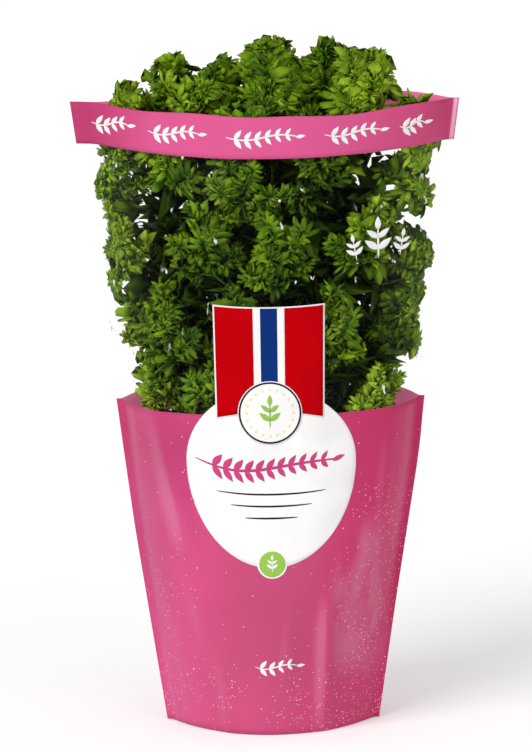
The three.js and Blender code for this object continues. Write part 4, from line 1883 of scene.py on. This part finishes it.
    def blades(self, fan: Fan, leaves: Leaflets) -> Surface:
        """Small ruffled fans, all at once.

        A fan is a grid of a turn a from -1 to 1 and a reach v from 0 to 1. Its outline has round-ended
        lobes with narrow notches between them, which grow as v^1.2. The lobes stand up and down in turn
        by a cosine that grows as v^1.6, each is grooved along its middle by the square of the place p
        across it, each hooks over by a cube of v, and the whole fan bends as v^2 and droops at its sides as
        v times the square of a. The blade is thickest along its middle and closed at its edge.

        Args:
            fan: the grid.
            leaves: where the fans are, how long and how light, and the seeds of their scattered values.

        Returns:
            The fans as closed thin sheets, with their values tip, shade, stem and vein.
        """
        lobe_number = np.append(np.repeat(np.arange(fan.lobes), len(fan.places)), fan.lobes - 1)
        p = np.append(np.tile(fan.places, fan.lobes), 0.5)
        a = ((2 * lobe_number + 1 + 2 * p) / fan.lobes - 1)[None, None, :]
        v = np.linspace(0, 1, fan.rows)[None, :, None]
        outline = np.append(np.tile(fan.lengths, fan.lobes), fan.lengths[0])[None, None, :]
        form, size = self.form, leaves.size[:, None, None]
        own = leaves.seed[:, None] * 1.37 + 5.1 * lobe_number
        middle_share = (1 - 2 * np.abs(p))[None, None, :]
        varied = 1 + form.lobe_scatter * sway(own, Draw.LOBE_LENGTH)[:, None] * middle_share
        along = unit(leaves.along)
        side = unit(np.cross(leaves.facing, along))
        normal = np.cross(along, side)

        def pick(purpose: Draw, usual: float, scattered: float) -> Array:
            """A number for each fan: the usual one, and a scattered part more or less."""
            return usual + scattered * sway(leaves.seed, purpose)[:, None, None]

        cut = 1 - (1 - outline * varied) * v**1.2
        shape = (0.7 + 0.3 * np.cos(0.5 * math.pi * a)) * cut
        reach = (0.06 + 0.94 * v) * shape * size
        turn = a * self.spread * pick(Draw.FAN_SPREAD, *form.spread) + pick(Draw.FAN_TWIST, 0, form.twist) * v
        wave = np.cos(0.5 * fan.lobes * math.pi * a + pick(Draw.RUFFLE_SHIFT, 0, form.ruffle_shift))
        ruffle = pick(Draw.RUFFLE, *form.ruffle) * v**1.6 * wave
        groove = pick(Draw.GROOVE, *form.groove) * v * (2 * p[None, None, :]) ** 2
        hook = -(form.hook[0] + form.hook[1] * sway(own, Draw.HOOK))[:, None] * v**3 * middle_share
        bend = pick(Draw.BEND, *form.bend) * v * v - form.droop * v * (a * 0.85) ** 2
        height = (ruffle + groove + hook + bend) * size
        points = (
            leaves.base[:, None, None]
            + (reach * np.cos(turn))[..., None] * along[:, None, None]
            + (reach * np.sin(turn))[..., None] * side[:, None, None]
            + height[..., None] * normal[:, None, None]
        )
        skin = unit(np.cross(np.gradient(points, axis=2), np.gradient(points, axis=1)))
        skin = skin * self.thickness
        middle = slice(1, -1)
        behind = points[:, middle, middle] - skin[:, middle, middle]
        count, columns = len(leaves.base), points.shape[2]
        front_count = fan.rows * columns
        each = front_count + (fan.rows - 2) * (columns - 2)
        both = np.concatenate([points.reshape(count, -1, 3), behind.reshape(count, -1, 3)], 1)
        numbers = np.arange(front_count).reshape(fan.rows, columns)
        numbers[middle, middle] = front_count + np.arange(each - front_count).reshape(fan.rows - 2, -1)
        front = grid_faces(fan.rows, columns)
        faces = np.concatenate([front, numbers.ravel()[front][:, ::-1]])
        faces = faces[None] + each * np.arange(count)[:, None, None]

        def twice(value: Array) -> Array:
            """A value for the points of the front, then for those behind.

            Args:
                value: a value for each point of the front's grid, or fewer that are spread over it.

            Returns:
                The values of all the fans, in one row.
            """
            full = np.broadcast_to(value, reach.shape)
            both_sides = [full.reshape(count, -1), full[:, middle, middle].reshape(count, -1)]
            return np.concatenate(both_sides, 1).ravel()

        values = {
            "tip": twice(v**1.4 * (0.4 + 0.6 * middle_share)),
            "shade": twice(leaves.shade[:, None, None] + 0 * v),
            "vein": twice(0.6 * middle_share**4 * (1 - 0.5 * v)),
            "stem": np.zeros(count * each),
        }
        return Surface(both.reshape(-1, 3), faces.reshape(-1, 4), values)

    def behind_film(self, points: Array) -> Array:
        """Brings points that stand out of the film back behind it.

        Args:
            points: the points.

        Returns:
            The points behind the film.
        """
        x, y, z = points.T
        bearing, radius = np.arctan2(y, x), np.hypot(x, y)
        held = squeeze(radius, self.film.radius(z, bearing, self.clearance), 0.98)
        return np.stack([held * np.cos(bearing), held * np.sin(bearing), z], -1)

    def inside_bunch(self, points: Array, margin: float = 0.0) -> Array:
        """Brings points back into the bunch's outline: its sides and the canopy's ragged top.

        Args:
            points: the points.
            margin: how far below the canopy's top they stay, and half as far from the sides.

        Returns:
            The points inside the outline.
        """
        x, y, z = points.T
        ragged = self.raggedness * (1 + np.sin(0.62 * x + 2 * np.sin(0.16 * x + 0.3 * y)))
        over = np.maximum(z + margin - self.canopy_top(x) + self.slope * y + ragged - 1, 0)
        z = z - over + 1.5 * (1 - np.exp(-over / 1.5))
        bearing, radius = np.arctan2(y, x), np.hypot(x, y)
        held = squeeze(radius, self.reach(z, bearing) - 0.5 * margin, 0.98)
        return np.stack([held * np.cos(bearing), held * np.sin(bearing), z], -1)

    def stalk(self, path: Array, start: float, end: float, sides: int, shade: float) -> Surface:
        """A stalk along a path.

        Args:
            path: the points that it follows.
            start: its radius at its foot.
            end: its radius at its tip.
            sides: how many sides it has.
            shade: how light it is.

        Returns:
            The stalk, with the same values as a leaf.
        """
        surface = tube(path, np.linspace(start, end, len(path)), sides)
        count = len(surface.points)
        surface.values = {
            "tip": np.zeros(count),
            "shade": np.full(count, shade),
            "vein": np.zeros(count),
            "stem": np.ones(count),
        }
        return surface

    def frond(self, cell: Cell, index: int) -> Surface:
        """A whole frond: its stem, its side branches and their leaflets, bent into its cell.

        Args:
            cell: its cell.
            index: its number, which its scattered values follow.

        Returns:
            The frond.
        """
        own = self.frame_of(cell, index)
        end, rib, face, scale = own.path[-1], own.rib, own.face, own.scale
        parts = [self.stalk(own.path, 0.8, 0.6, 6, 0.4)]
        spine = end + rib * np.linspace(-1, PINNAE[-1].level * scale, 5)[:, None]
        spine = self.inside_bunch(self.into_cell(spine, cell), self.branch_margin)
        parts.append(self.stalk(spine, 0.6, 0.4, 6, 0.5))
        groups = []
        for number, pinna in enumerate(PINNAE):
            seed = index * SEEDS_PER_FROND + number
            draws = (Draw.BRANCH_SIDE, Draw.BRANCH_UP, Draw.BRANCH_OUT)
            turn = [0.14 * float(sway(seed, draw)) for draw in draws]
            direction = own.side * (pinna.side + turn[0]) + rib * (pinna.up + turn[1])
            direction = unit(direction + face * (pinna.out + turn[2]))
            base = end + rib * pinna.level * scale
            length = pinna.size * scale * (0.86 + 0.14 * float(scatter(seed, Draw.BRANCH_LENGTH)))
            t = np.linspace(0, 1, 6)[:, None]
            arch = unit(np.cross(direction, np.cross(face, direction)))
            line = base + direction * length * 0.85 * t + arch * 0.12 * length * np.sin(math.pi * t)
            line = self.inside_bunch(self.into_cell(line, cell), self.branch_margin)
            parts.append(self.stalk(line, 0.5, 0.28, 4, 0.5))
            groups.append(self.pinna_leaflets(line, face, cell, scale, seed))
        fan = CROWN_FAN if cell.top > self.film.height else FINE_FAN
        fine = self.blades(fan, Leaflets.together(groups))
        coarse = self.blades(COARSE_FAN, self.stem_leaflets(own, index))
        for fans in (fine, coarse):
            fans.points = self.behind_film(fans.points)
        return joined([*parts, fine, coarse])

    def pinna_leaflets(self, line: Array, face: Array, cell: Cell, scale: float, seed: int) -> Leaflets:
        """Leaflets round a side branch, each a golden turn on from the last, and one at its end.

        Args:
            line: the branch's points.
            face: the direction that the frond faces.
            cell: the frond's cell, which their tips are turned into.
            scale: the frond's scale.
            seed: the branch's number.

        Returns:
            The leaflets.
        """
        count = self.per_pinna
        own = seed * SEEDS_PER_BRANCH + np.arange(count)
        at = np.linspace(0.02, 1, count) ** 0.85 + 0.04 * sway(own, Draw.PLACE)
        at[-1] = 1
        steps = np.linspace(0, 1, len(line))
        base = np.stack([np.interp(at, steps, line[:, k]) for k in range(3)], -1)
        in_crown = line[-1, 2] + 8 > self.film.height
        direction = unit(line[-1] - line[0])
        across = unit(np.cross(face, direction))
        normal = np.cross(direction, across)
        angle = seed * 1.7 + GOLDEN_TURN * np.arange(count) + 0.9 * sway(own, Draw.TURN)
        around = across * np.cos(angle)[:, None] + normal * (0.8 * np.sin(angle))[:, None]
        lean = np.append(0.25 + scatter(own[1:], Draw.LEAN), 3.0)[:, None]
        along = unit(around + direction * lean + 0.5 * UP)
        size = self.leaflet_size * scale**0.5 * (1.05 - 0.15 * at)
        size = size * (0.66 + 0.5 * scatter(own, Draw.SIZE) + 0.6 * scatter(own, Draw.SIZE) ** 6)
        size = size * (self.crown_growth if in_crown else 1.0)
        tip = self.inside_bunch(self.into_cell(base + along * size[:, None], cell))
        reach = np.linalg.norm(tip - base, axis=-1)
        along = unit(tip - base)
        size = np.clip(reach, 0.6 * size, size)
        facing = 0.7 * np.cross(along, np.cross(direction, along)) + 0.5 * face + 0.45 * UP
        facing = unit(facing + 0.35 * normal * sway(own, Draw.FACING)[:, None])
        # Painted shade deeper behind the film, and painted light in the crown, low down and at the sides.
        x, y, z = tip.T
        wall = self.film.radius(z, np.arctan2(y, x), 0.0)
        depth = np.clip((wall - np.hypot(x, y)) / self.cell_depth, 0, 1) * (z < self.film.height)
        shade = self.shade.at(tip, in_crown, depth, own, seed)
        return Leaflets(base, along, facing, size, own.astype(float), shade)

    def stem_leaflets(self, leaf: LeafFrame, index: int) -> Leaflets:
        """Leaflets round the stem behind the frond, from the lowest leaflet's height up.

        Args:
            leaf: the frond's frame.
            index: the frond's number.

        Returns:
            The leaflets.
        """
        path, side, face = leaf.path, leaf.side, leaf.face
        own = STEM_SEEDS + index * SEEDS_PER_STEM + np.arange(self.per_stem)
        steps = np.linspace(0, 1, len(path))
        low = np.interp(self.lowest_leaflet, path[:, 2], steps)
        at = np.linspace(min(low, 0.7), 0.9, self.per_stem) + 0.01 * sway(own, Draw.PLACE)
        base = np.stack([np.interp(at, steps, path[:, k]) for k in range(3)], -1)
        angle = index + GOLDEN_TURN * np.arange(self.per_stem)
        inward = 0.75 * np.sin(angle) - 0.35
        upward = 0.3 + 0.5 * sway(own, Draw.LEAN)
        along = unit(side * np.cos(angle)[:, None] + face * inward[:, None] + UP * upward[:, None])
        facing = UP * 0.6 + face * sway(own, Draw.FACING)[:, None]
        facing = unit(facing + side * sway(own, Draw.FACING_SIDE)[:, None] + 0.1)
        size = self.inner_size * (0.8 + 0.4 * scatter(own, Draw.SIZE))
        # These big inner leaves are painted dark, as shade deep in the bunch.
        shade = 0.3 * scatter(own, Draw.SHADE) - 0.1
        return Leaflets(base, along, facing, size, own.astype(float), shade)

    def build(self) -> None:
        """Builds every frond in its node's place."""
        material = self.finish.material("curly_leaf")
        total = 0
        for index, cell in enumerate(self.cells()):
            surface = self.frond(cell, index)
            piece = put_in_scene(f"curly_frond_{index + 1:02d}", surface, material)
            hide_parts(f"frond_{index + 1:02d}")
            total += 2 * len(surface.faces)
        log.info("fronds: %d triangles", total)


# The pot, the soil and the studio


@dataclass
class PotAndSoil:
    """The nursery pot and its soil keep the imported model's form and get their finishes."""

    pot: PotFinish = PotFinish()
    soil: SoilFinish = SoilFinish()

    def dress(self) -> None:
        """Gives both nodes their finishes."""
        for node, material in (
            ("nursery_pot", self.pot.material("moulded_pot")),
            ("soil", self.soil.material("moist_peat")),
        ):
            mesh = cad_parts[node].data
            mesh.materials.clear()
            mesh.materials.append(material)
            log.info("%s dressed", node)


@dataclass
class Studio:
    """The pale floor, the soft lights and the camera at the photographed angle."""

    target: tuple[float, float, float] = (0.0, 0.0, 0.170)
    elevation: float = math.radians(9.85)
    azimuth: float = math.radians(1.39)
    roll: float = math.radians(-0.861)
    distance: float = 3.7526
    lens: float = 360.2
    frame_height: int = 752
    shift_px: tuple[float, float] = (2.38, 8.92)
    floor_half: float = 9.0
    room_light: float = 0.55
    lamps: tuple[tuple[str, tuple[float, float, float], float, float], ...] = (
        ("key_light", (-1.4, -2.0, 2.1), 34.0, 1.75),
        ("fill_light", (1.6, -2.2, 1.5), 50.0, 0.4),
    )

    def build(self) -> None:
        """Builds the floor, the lights, the world's light and the camera."""
        self.build_floor()
        self.build_lights()
        self.build_camera()
        settings = bpy.context.scene.view_settings
        settings.view_transform = "Standard"
        settings.look = "None"

    def build_floor(self) -> None:
        """Builds the floor: a flat pale grid just below the pot's foot, softly lit from within."""
        u = np.linspace(-1, 1, 25)
        x, y = np.meshgrid(u * self.floor_half / MM, u * self.floor_half / MM)
        points = np.stack([x, y, np.full_like(x, -0.2)], -1).reshape(-1, 3)
        recipe = Recipe("pale_floor")
        cloud = recipe.between(recipe.noise(1.5), 0.4, 0.6)
        colour = recipe.mix(cloud, (0.80, 0.80, 0.80), (0.82, 0.82, 0.82))
        material = recipe.finish(
            Base_Color=colour,
            Roughness=0.8,
            Specular_IOR_Level=0.0,
            Emission_Color=(1, 1, 1, 1),
            Emission_Strength=0.26,
        )
        mesh = bpy.data.meshes.new("pale_floor")
        mesh.from_pydata((points * MM).tolist(), [], grid_faces(25, 25).tolist())
        mesh.materials.append(material)
        floor = bpy.data.objects.new("pale_floor", mesh)
        bpy.context.scene.collection.objects.link(floor)

    def build_lights(self) -> None:
        """Builds a broad key light from the upper left, a fill from the right and an even white room."""
        world = bpy.data.worlds.new("white_room")
        world.use_nodes = True
        world.node_tree.nodes["Background"].inputs[0].default_value = (1, 1, 1, 1)
        world.node_tree.nodes["Background"].inputs[1].default_value = self.room_light
        bpy.context.scene.world = world
        for name, place, softness, strength in self.lamps:
            light = bpy.data.lights.new(name, "SUN")
            light.angle = math.radians(softness)
            light.energy = strength
            lamp = bpy.data.objects.new(name, light)
            lamp.location = place
            aim = Vector(self.target) - Vector(place)
            lamp.rotation_euler = aim.to_track_quat("-Z", "Y").to_euler()
            bpy.context.scene.collection.objects.link(lamp)

    def build_camera(self) -> None:
        """Builds the camera: it looks at the target from its distance, turned by its roll."""
        az, el = self.azimuth, self.elevation
        back = np.array([math.sin(az) * math.cos(el), -math.cos(az) * math.cos(el), math.sin(el)])
        right = unit(np.cross(UP, back))
        up = np.cross(back, right)
        right, up = (
            math.cos(self.roll) * right + math.sin(self.roll) * up,
            -math.sin(self.roll) * right + math.cos(self.roll) * up,
        )
        camera = bpy.data.cameras.new("photo_camera")
        camera.lens = self.lens
        camera.sensor_width = 36
        camera.shift_x = -self.shift_px[0] / self.frame_height
        camera.shift_y = self.shift_px[1] / self.frame_height
        camera.clip_end = 60
        viewer = bpy.data.objects.new("photo_camera", camera)
        eye = np.array(self.target) + self.distance * back
        matrix = Matrix.Identity(4)
        for row in range(3):
            matrix[row] = (right[row], up[row], back[row], eye[row])
        viewer.matrix_world = matrix
        bpy.context.scene.collection.objects.link(viewer)
        bpy.context.scene.camera = viewer


def main() -> None:
    """Builds the studio, the pot, the sleeve, its labels and the plant."""
    logging.basicConfig(level=logging.INFO, format="%(name)s: %(message)s")
    Studio().build()
    PotAndSoil().dress()
    sleeve = FilmSleeve()
    for piece in sleeve.build():
        log.info("%s: %d faces", piece.name, len(piece.data.polygons))
    Labels(sleeve).build()
    Parsley(sleeve.shape).build()
    bpy.context.view_layer.update()
    log.info("sizes written")


if __name__ == "__main__":
    main()
